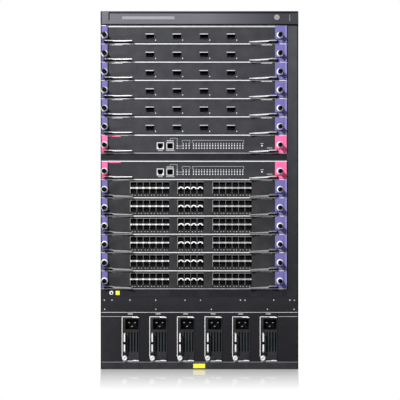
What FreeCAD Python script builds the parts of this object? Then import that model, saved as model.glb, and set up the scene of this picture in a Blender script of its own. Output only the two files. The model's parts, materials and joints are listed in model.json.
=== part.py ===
import FreeCAD, Part
import math
import os
import re
import Sketcher

# Modular chassis switch, 18 rack units high. Millimetres, +Z up, +X to the right, the front faces -Y.
# The origin is the centre of the base. Every size below is a cell of the sheet, and every
# sketch, feature and place is a formula of those cells.
SIZES = [
    ("caseWide", 440.0),        # across the two side walls
    ("caseHigh", 797.0),        # 18 rack units less the stacking clearance
    ("caseDeep", 660.0),        # front edge of the side walls to the rear panel
    ("wall", 1.5),              # steel of the case
    ("gap", 0.3),               # running clearance of everything that slides or turns
    ("bezelHigh", 29.5),        # moulded cap over the top of the front
    ("bezelProud", 4.0),
    ("bezelRim", 17.5),         # rim left and right of the recessed strip
    ("bezelLip", 5.0),          # rim above and below the recessed strip
    ("bezelRecess", 1.4),
    ("bezelRound", 1.5),
    ("plate", 2.0),             # front frame and card faces
    ("stripWide", 24.1),        # plain strip right of the cards
    ("cageBase", 180.3),        # bottom of the lowest card
    ("cageTop", 0.6),           # from the highest slot to the moulded cap
    ("blockSlots", 7.0),        # cards above and below the divider
    ("dividerHigh", 17.5),
    ("slotPitch", "=(caseHigh - bezelHigh - cageTop - dividerHigh - cageBase) / (2 * blockSlots)"),
    ("cageDeep", 360.0),        # card face to midplane
    ("midplaneThick", 4.0),
    ("socketWide", 220.0),      # midplane connectors
    ("socketDeep", 12.0),
    ("socketHigh", 12.0),
    ("railWide", 8.0),          # slot guides
    ("railHigh", 8.0),
    ("railWall", 2.0),
    ("cardGap", 0.75),          # between neighbouring cards
    ("lipHigh", 2.2),           # bare spring edge along the top of a card face
    ("lipBack", 0.5),
    ("flangeDeep", 10.0),       # folded edges behind a card face
    ("flangeThick", 1.0),
    ("trayRise", 5.0),          # circuit board above the bottom of its slot
    ("trayThick", 2.4),
    ("gripLeftWide", 14.0),     # coloured end blocks
    ("gripRightWide", 26.0),
    ("gripProud", 4.0),
    ("notchHigh", 8.4),         # corner cut from a grip for the lever's pivot
    ("notchInset", 2.0),
    ("knobInset", 7.2),         # captive screw from the left end of the face
    ("knobInsetRight", 15.3),
    ("knobRise", 17.0),
    ("collarRadius", 7.0),
    ("collarDeep", 5.0),
    ("knobRadius", 5.2),
    ("knobDeep", 15.0),
    ("pivotInset", 9.0),        # lever axis from the left end of the face
    ("pivotInsetRight", 24.0),
    ("pivotProud", 5.6),        # lever axis in front of the face
    ("leverRise", 1.6),
    ("leverHigh", 3.6),
    ("leverLong", 60.0),
    ("leverRoot", 3.6),         # half width of the lever at its axis
    ("leverTip", 2.4),
    ("tabLong", 16.0),          # finger tab at the free end
    ("tabProud", 12.0),
    ("earThick", 1.2),
    ("earWide", 19.0),
    ("earDeep", 9.6),
    ("uplinkPorts", 4.0),
    ("uplinkPitch", 60.2),
    ("uplinkMiddle", -19.7),    # middle of the row of ports
    ("uplinkWide", 18.6),
    ("uplinkHigh", 11.0),
    ("uplinkFloor", 0.9),
    ("cageWall", 0.9),
    ("portDeep", 48.0),
    ("portPitch", 14.25),
    ("portWide", 13.35),
    ("portBand", 5.6),          # between the two rows of ports
    ("portTop", 1.7),
    ("bankMargin", 3.9),        # painted face above a port block
    ("portHigh", "=(slotPitch - cardGap - lipHigh - bankMargin - trayRise - trayThick - cageWall"
                 " - portBand - portTop) / 2"),
    ("portProud", 0.5),
    ("bankOneMiddle", -110.9),
    ("bankTwoMiddle", -19.8),
    ("bankThreeMiddle", 72.6),
    ("bankOneColumns", 6.0),
    ("bankTwoColumns", 4.0),
    ("bankThreeColumns", 6.0),
    ("jackWide", 15.8),
    ("jackHigh", 15.2),
    ("jackMouth", 11.8),
    ("jackMouthHigh", 8.2),
    ("jackFloor", 2.6),
    ("keyWide", 6.2),           # slot for the plug's latch
    ("keyHigh", 2.8),
    ("jackDeep", 14.0),
    ("jackLeft", -87.2),
    ("jackRight", -65.6),
    ("supplies", 6.0),
    ("bayLeft", 35.89),         # from the sides of the case to the outer bays
    ("bayRight", 35.59),
    ("supplyPitch", "=(caseWide - bayLeft - bayRight) / supplies"),
    ("supplyWide", 39.0),
    ("supplyHigh", 100.0),
    ("supplyDeep", 290.0),
    ("supplyFirst", "=-caseWide / 2 + bayLeft + supplyPitch / 2"),    # middle of the leftmost one
    ("supplyProud", 1.5),
    ("bayBase", 17.5),          # floor of the power bays
    ("bayWall", 1.5),
    ("bayTop", 160.0),          # top of the power panel
    ("inletWide", 30.0),
    ("inletHigh", 23.5),
    ("inletDrop", 5.6),
    ("inletDeep", 17.0),
    ("inletMiddle", 3.0),       # inlet and grille right of the supply's middle
    ("pinWide", 2.0),
    ("pinHigh", 6.0),
    ("pinLong", 11.9),
    ("pinSpread", 13.4),
    ("earthDrop", 14.5),        # earth pin below the top of the inlet
    ("ventWide", 3.2),
    ("ventPitch", 6.4),
    ("ventHigh", 44.0),
    ("vents", 5.0),
    ("ventDeep", 3.0),
    ("pullWide", 3.3),
    ("pullHigh", 42.0),
    ("pullProud", 17.0),
    ("pullLeft", 5.3),
    ("pullRise", 22.0),
    ("stemRadius", 5.6),
    ("stemDeep", 7.0),
    ("stemInset", 6.6),
    ("stemRise", 8.0),
    ("fanTrayDeep", 84.0),
    ("fanTrayWall", 1.5),
    ("fans", 3.0),
    ("fanMargin", 30.0),        # above and below the row of fans
    ("fanPitch", "=(caseHigh - cageBase - 2 * fanMargin) / fans"),
    ("fanClear", 9.0),
    ("fanRadius", "=fanPitch / 2 - fanClear"),
    ("hubRadius", 30.0),
    ("blades", 5.0),
    ("rotorDeep", 34.0),
    ("louvreWide", 170.0),
    ("louvreHigh", 30.0),
    ("louvres", 10.0),
    ("louvrePitch", "=fanPitch * fans / louvres"),
    ("trayPullHigh", 126.0),
    ("trayPullProud", 34.0),
    ("trayPullThick", 6.6),
    ("rearVentWide", 170.0),    # vents of the folded rear panel, under the fan trays
    ("rearVentHigh", 8.0),
    ("rearVentPitch", 22.0),
    ("rearVents", 5.0),
    ("rearVentRise", 40.0),
    ("rearVentInset", 24.0),    # from the middle of the case
    ("slotWide", 10.0),         # vent slots of the side walls
    ("slotStep", 25.0),
    ("slotCount", 5.0),
    ("slotRise", 230.0),
    ("slotRows", 2.0),
    ("slotTop", 61.0),          # steel left above the highest row
    ("slotBridge", 28.0),       # and between two rows
    ("slotHigh", "=(caseHigh - slotRise - slotTop - (slotRows - 1) * slotBridge) / slotRows"),
    ("slotLift", "=slotHigh + slotBridge"),
    ("slotStart", 80.0),        # first vent, behind the middle of the case
    ("holeRadius", 2.75),       # holes for the rack brackets
    ("holeInset", 26.0),
    ("holeSpread", 40.0),
    ("holeLow", 60.0),
    ("holeTop", 57.0),
    ("holeSpan", "=caseHigh - holeLow - holeTop"),
]

doc = FreeCAD.newDocument("ChassisSwitch")
sheet = doc.addObject("Spreadsheet::Sheet", "Sizes")
for line, (alias, content) in enumerate(SIZES, 1):
    sheet.set(f"A{line}", alias)
    sheet.setAlias(f"B{line}", alias)
for line, (alias, content) in enumerate(SIZES, 1):
    sheet.set(f"B{line}", str(content))
doc.recompute()
KNOWN = {alias for alias, content in SIZES}

KNOB_SIDES = 8               # grip flats turned round every captive screw
BLADE_FOOT = 0.45            # share of a blade's turn that its root takes
BLADE_LEAD = 0.35            # its tip leans this far ahead of the root
BLADE_TAIL = 0.75

# Places that many pieces share, as formulas.
FRONT = "caseDeep / 2"
LEFT = "(-caseWide / 2 + wall)"
RIGHT = "(caseWide / 2 - wall - stripWide)"
INNER_RIGHT = "(caseWide / 2 - wall)"
CARD_LEFT = f"({LEFT} + gap)"
CARD_RIGHT = f"({RIGHT} - gap)"
CARD_HIGH = "(slotPitch - cardGap)"
CARD_TOP = "(cageBase + 2 * blockSlots * slotPitch + dividerHigh)"
TRAY_TOP = "(trayRise + trayThick)"
MIDPLANE = f"(-{FRONT} + cageDeep)"
PAINTED = f"({CARD_HIGH} - lipHigh)"
BAY_HALF = "(supplyWide / 2 + gap)"
BAY_ROOF = "(bayBase + supplyHigh + 2 * gap)"


def formula(text):
    return re.sub(r"[A-Za-z]\w*", lambda word: "Sizes." + word.group() if word.group() in KNOWN
                  else word.group(), str(text))


def bind(thing, name, text):
    thing.setExpression(name, formula(text))


def place(thing, x="0", y="0", z="0"):
    bind(thing, ".Placement.Base.x", x)
    bind(thing, ".Placement.Base.y", y)
    bind(thing, ".Placement.Base.z", z)
    return thing


def origin(body, role):
    return next(item for item in body.Origin.OriginFeatures if item.Role == role)


# side: front looks along +Y, top looks down, side looks along -X; away moves it off the origin.
def sketch(body, name, side, away="0"):
    drawn = body.newObject("Sketcher::SketchObject", name)
    role = {"front": "XZ_Plane", "top": "XY_Plane", "side": "YZ_Plane"}[side]
    drawn.AttachmentSupport = [(origin(body, role), "")]
    drawn.MapMode = "FlatFace"
    bind(drawn, ".AttachmentOffset.Base.z", away)
    return drawn


def pin_point(drawn, line, end, across, up):
    for kind, text in (("DistanceX", across), ("DistanceY", up)):
        number = drawn.addConstraint(Sketcher.Constraint(kind, -1, 1, line, end, 1.0))
        label = f"{kind}{line}_{end}"
        drawn.renameConstraint(number, label)
        bind(drawn, f"Constraints.{label}", text)


def polygon(drawn, points):
    first = len(drawn.Geometry)
    count = len(points)
    for step in range(count):
        start = FreeCAD.Vector(step, step * step, 0)
        after = (step + 1) % count
        drawn.addGeometry(Part.LineSegment(start, FreeCAD.Vector(after, after * after, 0)), False)
    for step in range(count):
        after = (step + 1) % count
        drawn.addConstraint(Sketcher.Constraint("Coincident", first + step, 2, first + after, 1))
    for step, (across, up) in enumerate(points):
        pin_point(drawn, first + step, 1, across, up)


def rectangle(drawn, left, low, right, high):
    polygon(drawn, [(left, low), (right, low), (right, high), (left, high)])


def circle(drawn, across, up, radius):
    line = drawn.addGeometry(Part.Circle(FreeCAD.Vector(1, 1, 0), FreeCAD.Vector(0, 0, 1), 1), False)
    pin_point(drawn, line, 3, across, up)
    number = drawn.addConstraint(Sketcher.Constraint("Radius", line, 1.0))
    drawn.renameConstraint(number, f"Radius{line}")
    bind(drawn, f"Constraints.Radius{line}", radius)


def pad(drawn, length):
    body = drawn.getParentGeoFeatureGroup()
    raised = body.newObject("PartDesign::Pad", drawn.Name + "Pad")
    raised.Profile = drawn
    bind(raised, "Length", length)
    return raised


def pocket(drawn, depth):
    body = drawn.getParentGeoFeatureGroup()
    cut = body.newObject("PartDesign::Pocket", drawn.Name + "Cut")
    cut.Profile = drawn
    bind(cut, "Length", depth)
    return cut


def repeat(feature, role, pitch, count):
    body = feature.getParentGeoFeatureGroup()
    row = body.newObject("PartDesign::LinearPattern", feature.Name + "Row")
    row.Originals = [feature]
    row.Direction = (origin(body, role), [""])
    row.Mode = "Spacing"
    bind(row, "Offset", pitch)
    bind(row, "Occurrences", count)
    body.Tip = row
    return row


def new_body(name):
    return doc.addObject("PartDesign::Body", name)


def box(name, x, y, z, long, deep, high):
    block = doc.addObject("Part::Box", name)
    bind(block, "Length", long)
    bind(block, "Width", deep)
    bind(block, "Height", high)
    return place(block, x, y, z)


def copy(name, piece, x="0", y="0", z="0"):
    copied = doc.addObject("Part::Compound", name)
    copied.Links = [piece]
    return place(copied, x, y, z)


NODES = []


def node(name, pieces, x="0", y="0", z="0"):
    group = doc.addObject("Part::Compound", name)
    group.Label = name
    group.Links = pieces
    place(group, x, y, z)
    NODES.append(group)


# The case: side walls with vent slots and bracket holes, base, top and the folded rear shelf.
def side_wall(name, x):
    body = new_body(name + "_plate")
    outline = sketch(body, name + "Outline", "side", x)
    rectangle(outline, f"-{FRONT}", "0", FRONT, "caseHigh")
    pad(outline, "wall")
    holes = sketch(body, name + "Holes", "side", f"{x} + wall")
    for step in (0, 1):
        for lift in (0, 1):
            circle(holes, f"-{FRONT} + holeInset + {step} * holeSpread",
                   f"holeLow + {lift} * holeSpan", "holeRadius")
    pocket(holes, "wall")
    vents = sketch(body, name + "Vents", "side", f"{x} + wall")
    for lift in range(int(sheet.get("slotRows"))):
        rectangle(vents, "slotStart", f"slotRise + {lift} * slotLift",
                  "slotStart + slotWide", f"slotRise + {lift} * slotLift + slotHigh")
    repeat(pocket(vents, "wall"), "Y_Axis", "slotStep", "slotCount")
    node(name, [body])


def top_cover():
    node("top_cover", [box("TopPlate", LEFT, f"-{FRONT}", "caseHigh - wall",
                           "caseWide - 2 * wall", "caseDeep", "wall")])


def base_pan():
    body = new_body("BasePan")
    section = sketch(body, "BaseSection", "side", LEFT)
    polygon(section, [(f"-{FRONT}", "0"), (FRONT, "0"), (FRONT, "wall"),
                      (f"-{FRONT} + plate", "wall"), (f"-{FRONT} + plate", "bayBase - bayWall"),
                      (f"-{FRONT}", "bayBase - bayWall")])
    pad(section, "caseWide - 2 * wall")
    node("base_pan", [body])


def rear_panel():
    body = new_body("RearPanel")
    section = sketch(body, "RearSection", "side", LEFT)
    polygon(section, [(f"-{FRONT} + plate", "cageBase - 2 * wall - gap"),
                      (f"{FRONT} - wall", "cageBase - 2 * wall - gap"), (f"{FRONT} - wall", "wall"),
                      (FRONT, "wall"), (FRONT, "cageBase - wall - gap"),
                      (f"-{FRONT} + plate", "cageBase - wall - gap")])
    pad(section, "caseWide - 2 * wall")
    vents = sketch(body, "RearVents", "front", f"-{FRONT} + wall")
    high = "rearVentRise + rearVentHigh"
    rectangle(vents, "-rearVentInset - rearVentWide", "rearVentRise", "-rearVentInset", high)
    rectangle(vents, "rearVentInset", "rearVentRise", "rearVentInset + rearVentWide", high)
    repeat(pocket(vents, "wall"), "Z_Axis", "rearVentPitch", "rearVents")
    node("rear_panel", [body])


# The front: moulded cap, punched frame with the folded partition, and the power bays.
def top_bezel():
    body = new_body("TopBezel")
    outline = sketch(body, "BezelOutline", "front", FRONT)
    rectangle(outline, "-caseWide / 2", "caseHigh - bezelHigh", "caseWide / 2", "caseHigh")
    cap = pad(outline, "bezelProud")
    doc.recompute()
    forward = -sheet.get("caseDeep") / 2 - sheet.get("bezelProud")
    edges = [f"Edge{number}" for number, edge in enumerate(cap.Shape.Edges, 1)
             if edge.BoundBox.YMax < forward + sheet.get("bezelProud") / 2]
    rounded = body.newObject("PartDesign::Fillet", "BezelRounds")
    rounded.Base = (cap, edges)
    bind(rounded, "Radius", "bezelRound")
    strip = sketch(body, "BezelStrip", "front", f"{FRONT} + bezelProud")
    rectangle(strip, "-caseWide / 2 + bezelRim", "caseHigh - bezelHigh + bezelLip",
              "caseWide / 2 - bezelRim", "caseHigh - bezelLip")
    pocket(strip, "bezelRecess")
    node("top_bezel", [body])


def front_frame():
    body = new_body("FrontFrame")
    outline = sketch(body, "FrameOutline", "front", f"{FRONT} - plate")
    low_block = "cageBase - gap"
    divider_low = "cageBase + blockSlots * slotPitch - gap"
    divider_high = "cageBase + blockSlots * slotPitch + dividerHigh - gap"
    polygon(outline, [
        (LEFT, "bayTop + gap"), (INNER_RIGHT, "bayTop + gap"),
        (INNER_RIGHT, "caseHigh - wall"), (LEFT, "caseHigh - wall"),
        (LEFT, f"{CARD_TOP} + gap"), (RIGHT, f"{CARD_TOP} + gap"), (RIGHT, divider_high),
        (LEFT, divider_high), (LEFT, divider_low), (RIGHT, divider_low),
        (RIGHT, low_block), (LEFT, low_block)])
    pad(outline, "plate")
    partition = sketch(body, "Partition", "top", "cageBase - gap")
    rectangle(partition, RIGHT, f"-{FRONT} + plate", f"{RIGHT} + wall", f"{MIDPLANE} + midplaneThick")
    pad(partition, f"{CARD_TOP} - cageBase + 2 * gap")
    node("front_frame", [body])


def power_bays():
    body = new_body("PowerFront")
    outline = sketch(body, "PowerOutline", "front", f"{FRONT} - plate")
    rectangle(outline, LEFT, "bayBase - bayWall", INNER_RIGHT, "bayTop")
    pad(outline, "plate")
    window = sketch(body, "BayWindow", "front", FRONT)
    rectangle(window, f"supplyFirst - {BAY_HALF}", "bayBase", f"supplyFirst + {BAY_HALF}", BAY_ROOF)
    repeat(pocket(window, "plate"), "X_Axis", "supplyPitch", "supplies")
    # behind it each supply slides between two plates that stand on one floor under one roof
    back = f"-{FRONT} + plate"
    start = "supplyFirst - supplyPitch / 2"
    pieces = [body,
              box("BayFloor", start, back, "bayBase - bayWall", "supplies * supplyPitch", "supplyDeep",
                  "bayWall"),
              box("BayRoof", start, back, BAY_ROOF, "supplies * supplyPitch", "supplyDeep", "bayWall")]
    side = box("BaySide", f"-{BAY_HALF} - bayWall", back, "bayBase", "bayWall", "supplyDeep",
               f"{BAY_ROOF} - bayBase")
    for bay in range(int(sheet.get("supplies"))):
        middle = f"supplyFirst + {bay} * supplyPitch"
        pieces.append(copy(f"BaySideLeft{bay}", side, middle))
        pieces.append(copy(f"BaySideRight{bay}", side, f"{middle} + 2 * {BAY_HALF} + bayWall"))
    node("power_bays", pieces)


# Inside: midplane with a socket for each card, and the guides that the boards slide in.
def midplane():
    body = new_body("Midplane")
    board = sketch(body, "MidplaneBoard", "front", f"-{MIDPLANE} - midplaneThick")
    rectangle(board, LEFT, "cageBase - gap", RIGHT, CARD_TOP)
    pad(board, "midplaneThick")
    socket = sketch(body, "MidplaneSocket", "front", f"-{MIDPLANE}")
    low = f"cageBase + trayRise + trayThick / 2 - socketHigh / 2"
    upper = "blockSlots * slotPitch + dividerHigh"
    rectangle(socket, "-socketWide / 2", low, "socketWide / 2", f"{low} + socketHigh")
    rectangle(socket, "-socketWide / 2", f"{low} + {upper}", "socketWide / 2",
              f"{low} + {upper} + socketHigh")
    repeat(pad(socket, "socketDeep"), "Z_Axis", "slotPitch", "blockSlots")
    node("midplane", [body])


def guide(name, wall_x, inward):
    body = new_body(name)
    section = sketch(body, name + "Section", "front", f"-{MIDPLANE}")
    low = "trayRise + trayThick / 2 - railHigh / 2"
    open_x = f"{wall_x} + {inward} * railWide"
    web_x = f"{wall_x} + {inward} * railWall"
    polygon(section, [
        (wall_x, low), (open_x, low), (open_x, "trayRise - gap"), (web_x, "trayRise - gap"),
        (web_x, f"{TRAY_TOP} + gap"), (open_x, f"{TRAY_TOP} + gap"),
        (open_x, f"{low} + railHigh"), (wall_x, f"{low} + railHigh")])
    pad(section, "cageDeep - plate - gap")
    return body


def slot_guides():
    pair = [guide("GuideLeft", LEFT, 1), guide("GuideRight", RIGHT, -1)]
    rails = []
    for slot in range(2 * int(sheet.get("blockSlots"))):
        for piece in pair:
            rails.append(copy(f"{piece.Name}{slot}", piece, z=slot_base(slot)))
    node("slot_guides", rails)


# Bottom of a slot, counted from the lowest card up.
def slot_base(slot):
    above = "+ dividerHigh" if slot >= sheet.get("blockSlots") else ""
    return f"cageBase + {slot} * slotPitch {above}"


# A card: folded face, board, two grips with captive screws, two pivot brackets, and its ports.
def card_face(name, windows):
    body = new_body(name)
    section = sketch(body, name + "Section", "side", CARD_LEFT)
    back = f"-{FRONT} + plate"
    polygon(section, [
        (f"-{FRONT}", "0"), (f"{back} + flangeDeep", "0"), (f"{back} + flangeDeep", "flangeThick"),
        (back, "flangeThick"), (back, f"{CARD_HIGH} - flangeThick"),
        (f"{back} + flangeDeep", f"{CARD_HIGH} - flangeThick"), (f"{back} + flangeDeep", CARD_HIGH),
        (f"-{FRONT} + lipBack", CARD_HIGH), (f"-{FRONT} + lipBack", PAINTED),
        (f"-{FRONT}", PAINTED)])
    pad(section, f"{CARD_RIGHT} - {CARD_LEFT}")
    openings = sketch(body, name + "Windows", "front", FRONT)
    for left, low, right, high in windows:
        rectangle(openings, left, low, right, high)
    pocket(openings, "plate")
    return body


def card_board():
    return box("CardBoard", f"{LEFT} + railWall + gap", f"-{FRONT} + plate", "trayRise",
               f"{RIGHT} - {LEFT} - 2 * railWall - 2 * gap", "cageDeep - plate - socketDeep - gap",
               "trayThick")


# outer and inner are its ends across the face; the pivot's corner is cut from the inner end.
def grip(name, outer, inner, inward):
    body = new_body(name)
    outline = sketch(body, name + "Outline", "front", FRONT)
    notch = f"{outer} + {inward} * notchInset"
    polygon(outline, [(outer, "0"), (notch, "0"), (notch, "notchHigh"), (inner, "notchHigh"),
                      (inner, PAINTED), (outer, PAINTED)])
    pad(outline, "gripProud")
    return body


# A regular polygon about the sketch's origin.
def facets(drawn, radius, sides):
    corners = []
    for step in range(sides):
        turn = 2 * math.pi * (step + 0.5) / sides
        corners.append((f"{radius} * {math.cos(turn):.6f}", f"{radius} * {math.sin(turn):.6f}"))
    polygon(drawn, corners)


def captive_screw():
    body = new_body("CaptiveScrew")
    collar = sketch(body, "ScrewCollar", "front")
    facets(collar, "collarRadius", KNOB_SIDES)
    pad(collar, "collarDeep")
    knob = sketch(body, "ScrewKnob", "front", "collarDeep")
    facets(knob, "knobRadius", KNOB_SIDES)
    pad(knob, "knobDeep")
    return body


# A U of two ears on a foot; the lever turns between the ears.
def pivot_bracket(name, x):
    body = new_body(name)
    section = sketch(body, name + "Section", "side", x)
    low = "leverRise - gap - earThick"
    high = "leverRise + leverHigh + gap + earThick"
    foot = f"-{FRONT} - earThick"
    tip = f"-{FRONT} - earDeep"
    polygon(section, [
        (f"-{FRONT}", low), (f"-{FRONT}", high), (tip, high), (tip, f"{high} - earThick"),
        (foot, f"{high} - earThick"), (foot, f"{low} + earThick"), (tip, f"{low} + earThick"),
        (tip, low)])
    pad(section, "earWide")
    return body


LEFT_PIVOT = f"({CARD_LEFT} + pivotInset)"
RIGHT_PIVOT = f"({CARD_RIGHT} - pivotInsetRight)"
PIVOT_Y = f"(-{FRONT} - pivotProud)"


# A tapered arm with a finger tab, its root rounded about the hinge axis.
def lever(name, pivot, inward):
    body = new_body(name)
    outline = sketch(body, name + "Outline", "top", "leverRise")
    tab = f"{pivot} + {inward} * (leverLong - tabLong)"
    end = f"{pivot} + {inward} * leverLong"
    tail = f"{pivot} - {inward} * leverRoot"
    corner = f"leverRoot * {math.tan(math.pi / 8):.6f}"
    polygon(outline, [
        (f"{pivot} - {inward} * {corner}", f"{PIVOT_Y} + leverRoot"),
        (end, f"{PIVOT_Y} + leverTip"), (end, f"{PIVOT_Y} - tabProud + leverRoot"),
        (f"{end} - {inward} * leverTip", f"{PIVOT_Y} - tabProud + leverRoot"),
        (tab, f"{PIVOT_Y} - leverTip"), (f"{pivot} - {inward} * {corner}", f"{PIVOT_Y} - leverRoot"),
        (tail, f"{PIVOT_Y} - {corner}"), (tail, f"{PIVOT_Y} + {corner}")])
    pad(outline, "leverHigh")
    return body


def uplink_cage():
    body = new_body("UplinkCage")
    outline = sketch(body, "UplinkOutline", "front", f"{FRONT} + portProud - portDeep - cageWall")
    rectangle(outline, "-uplinkWide / 2 - cageWall", TRAY_TOP, "uplinkWide / 2 + cageWall",
              f"{TRAY_TOP} + uplinkFloor + uplinkHigh + cageWall")
    pad(outline, "portDeep + cageWall")
    mouth = sketch(body, "UplinkMouth", "front", f"{FRONT} + portProud")
    rectangle(mouth, "-uplinkWide / 2", f"{TRAY_TOP} + uplinkFloor", "uplinkWide / 2",
              f"{TRAY_TOP} + uplinkFloor + uplinkHigh")
    pocket(mouth, "portDeep")
    return body


def uplink_x(port):
    return f"uplinkMiddle + ({port} - (uplinkPorts - 1) / 2) * uplinkPitch"


BANK_TOP = f"({TRAY_TOP} + cageWall + 2 * portHigh + portBand + portTop)"


def bank_half(columns):
    return f"({columns} * portPitch / 2 + cageWall / 2)"


def port_bank(name, middle, columns):
    body = new_body(name)
    outline = sketch(body, name + "Outline", "front", f"{FRONT} + portProud - portDeep - cageWall")
    half = bank_half(columns)
    rectangle(outline, f"{middle} - {half}", TRAY_TOP, f"{middle} + {half}", BANK_TOP)
    pad(outline, "portDeep + cageWall")
    mouths = sketch(body, name + "Mouths", "front", f"{FRONT} + portProud")
    left = f"{middle} - {half} + cageWall"
    low = f"{TRAY_TOP} + cageWall"
    for lift in ("0", "portHigh + portBand"):
        rectangle(mouths, left, f"{low} + {lift}", f"{left} + portWide", f"{low} + {lift} + portHigh")
    repeat(pocket(mouths, "portDeep"), "X_Axis", "portPitch", columns)
    return body


def jack():
    body = new_body("Jack")
    outline = sketch(body, "JackOutline", "front", f"{FRONT} + portProud - jackDeep - cageWall")
    rectangle(outline, "-jackWide / 2", TRAY_TOP, "jackWide / 2", f"{TRAY_TOP} + jackHigh")
    pad(outline, "jackDeep + cageWall")
    mouth = sketch(body, "JackMouth", "front", f"{FRONT} + portProud")
    key = f"{TRAY_TOP} + jackFloor"
    low = f"{key} + keyHigh"
    top = f"{low} + jackMouthHigh"
    polygon(mouth, [
        ("-keyWide / 2", key), ("keyWide / 2", key), ("keyWide / 2", low), ("jackMouth / 2", low),
        ("jackMouth / 2", top), ("-jackMouth / 2", top), ("-jackMouth / 2", low), ("-keyWide / 2", low)])
    pocket(mouth, "jackDeep")
    return body


BANKS = [("bankOneMiddle", "bankOneColumns"), ("bankTwoMiddle", "bankTwoColumns"),
         ("bankThreeMiddle", "bankThreeColumns")]
JACKS = ["jackLeft", "jackRight"]


# The pieces of each kind of card, modelled with the bottom of the slot at height 0.
def card_kinds():
    ports = range(int(sheet.get("uplinkPorts")))
    half = "uplinkWide / 2 + cageWall"
    uplink_windows = [(f"{uplink_x(port)} - {half}", TRAY_TOP, f"{uplink_x(port)} + {half}",
                       f"{TRAY_TOP} + uplinkFloor + uplinkHigh + cageWall") for port in ports]
    bank_windows = [(f"{middle} - {bank_half(columns)}", TRAY_TOP,
                     f"{middle} + {bank_half(columns)}", BANK_TOP) for middle, columns in BANKS]
    jack_windows = [(f"{middle} - jackWide / 2", TRAY_TOP, f"{middle} + jackWide / 2",
                     f"{TRAY_TOP} + jackHigh") for middle in JACKS]
    screw = captive_screw()
    seat = f"-{FRONT} - gripProud"
    shared = [
        card_board(),
        grip("GripLeft", CARD_LEFT, f"{CARD_LEFT} + gripLeftWide", 1),
        grip("GripRight", CARD_RIGHT, f"{CARD_RIGHT} - gripRightWide", -1),
        copy("ScrewLeft", screw, f"{CARD_LEFT} + knobInset", seat, "knobRise"),
        copy("ScrewRight", screw, f"{CARD_RIGHT} - knobInsetRight", seat, "knobRise"),
        pivot_bracket("BracketLeft", f"{LEFT_PIVOT} - leverRoot - gap"),
        pivot_bracket("BracketRight", f"{RIGHT_PIVOT} + leverRoot + gap - earWide")]
    cage = uplink_cage()
    cages = [copy(f"Cage{port}", cage, uplink_x(port)) for port in ports]
    banks = [port_bank(f"Bank{number}", middle, columns)
             for number, (middle, columns) in enumerate(BANKS)]
    socket = jack()
    jacks = [copy(f"Jack{number}", socket, middle) for number, middle in enumerate(JACKS)]
    return {"uplink": [card_face("UplinkFace", uplink_windows)] + shared + cages,
            "port": [card_face("PortFace", bank_windows)] + shared + banks,
            "control": [card_face("ControlFace", jack_windows)] + shared + jacks}


def cards():
    kinds = card_kinds()
    arms = {"left": lever("LeverLeft", LEFT_PIVOT, 1), "right": lever("LeverRight", RIGHT_PIVOT, -1)}
    block = int(sheet.get("blockSlots"))
    order = ["uplink"] * (block - 1) + ["control"] * 2 + ["port"] * (block - 1)
    seen = {}
    for place_down, kind in enumerate(order):
        seen[kind] = seen.get(kind, 0) + 1
        name = f"{kind}_card_{seen[kind]}"
        base = slot_base(2 * block - 1 - place_down)
        node(name, kinds[kind], z=base)
        for side, arm in arms.items():
            node(f"{name}_lever_{side}", [arm], z=base)


# A power supply: case with the inlet, its pins, a grille, a pull and a captive screw.
def supply_case():
    body = new_body("SupplyCase")
    face = f"{FRONT} + supplyProud"
    base = "bayBase + gap"
    top = f"{base} + supplyHigh"
    outline = sketch(body, "SupplyOutline", "front", f"{face} - supplyDeep")
    rectangle(outline, "-supplyWide / 2", base, "supplyWide / 2", top)
    pad(outline, "supplyDeep")
    inlet = sketch(body, "InletRecess", "front", face)
    rectangle(inlet, "inletMiddle - inletWide / 2", f"{top} - inletDrop - inletHigh",
              "inletMiddle + inletWide / 2", f"{top} - inletDrop")
    pocket(inlet, "inletDeep")
    grille = sketch(body, "Grille", "front", face)
    left = "inletMiddle - (vents - 1) * ventPitch / 2 - ventWide / 2"
    low = f"{top} - 2 * inletDrop - inletHigh - ventHigh"
    rectangle(grille, left, low, f"{left} + ventWide", f"{low} + ventHigh")
    repeat(pocket(grille, "ventDeep"), "X_Axis", "ventPitch", "vents")
    return body


def inlet_pin(name, x, drop):
    back = f"-{FRONT} - supplyProud + inletDeep"
    top = "bayBase + gap + supplyHigh - inletDrop"
    return box(name, f"inletMiddle + {x} - pinWide / 2", f"{back} - pinLong",
               f"{top} - {drop} - pinHigh", "pinWide", "pinLong", "pinHigh")


def supply_pull():
    body = new_body("SupplyPull")
    section = sketch(body, "PullSection", "side", "-supplyWide / 2 + pullLeft")
    face = f"-{FRONT} - supplyProud"
    low = "bayBase + pullRise"
    high = f"{low} + pullHigh"
    polygon(section, [
        (face, low), (f"{face} - pullProud", low), (f"{face} - pullProud", high), (face, high),
        (face, f"{high} - pullWide"), (f"{face} - pullProud + pullWide", f"{high} - pullWide"),
        (f"{face} - pullProud + pullWide", f"{low} + pullWide"), (face, f"{low} + pullWide")])
    pad(section, "pullWide")
    return body


def supply_screw():
    body = new_body("SupplyScrew")
    knob = sketch(body, "SupplyScrewKnob", "front")
    facets(knob, "stemRadius", KNOB_SIDES)
    pad(knob, "stemDeep")
    return place(body, "-supplyWide / 2 + stemInset", f"-{FRONT} - supplyProud",
                 "bayBase + stemRise")


def power_supplies():
    pieces = [supply_case(), inlet_pin("PinLine", "(-pinSpread / 2)", "pinHigh"),
              inlet_pin("PinNeutral", "pinSpread / 2", "pinHigh"),
              inlet_pin("PinEarth", "0", "earthDrop"), supply_pull(), supply_screw()]
    for number in range(int(sheet.get("supplies"))):
        node(f"power_supply_{number + 1}", pieces, x=f"supplyFirst + {number} * supplyPitch")


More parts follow.
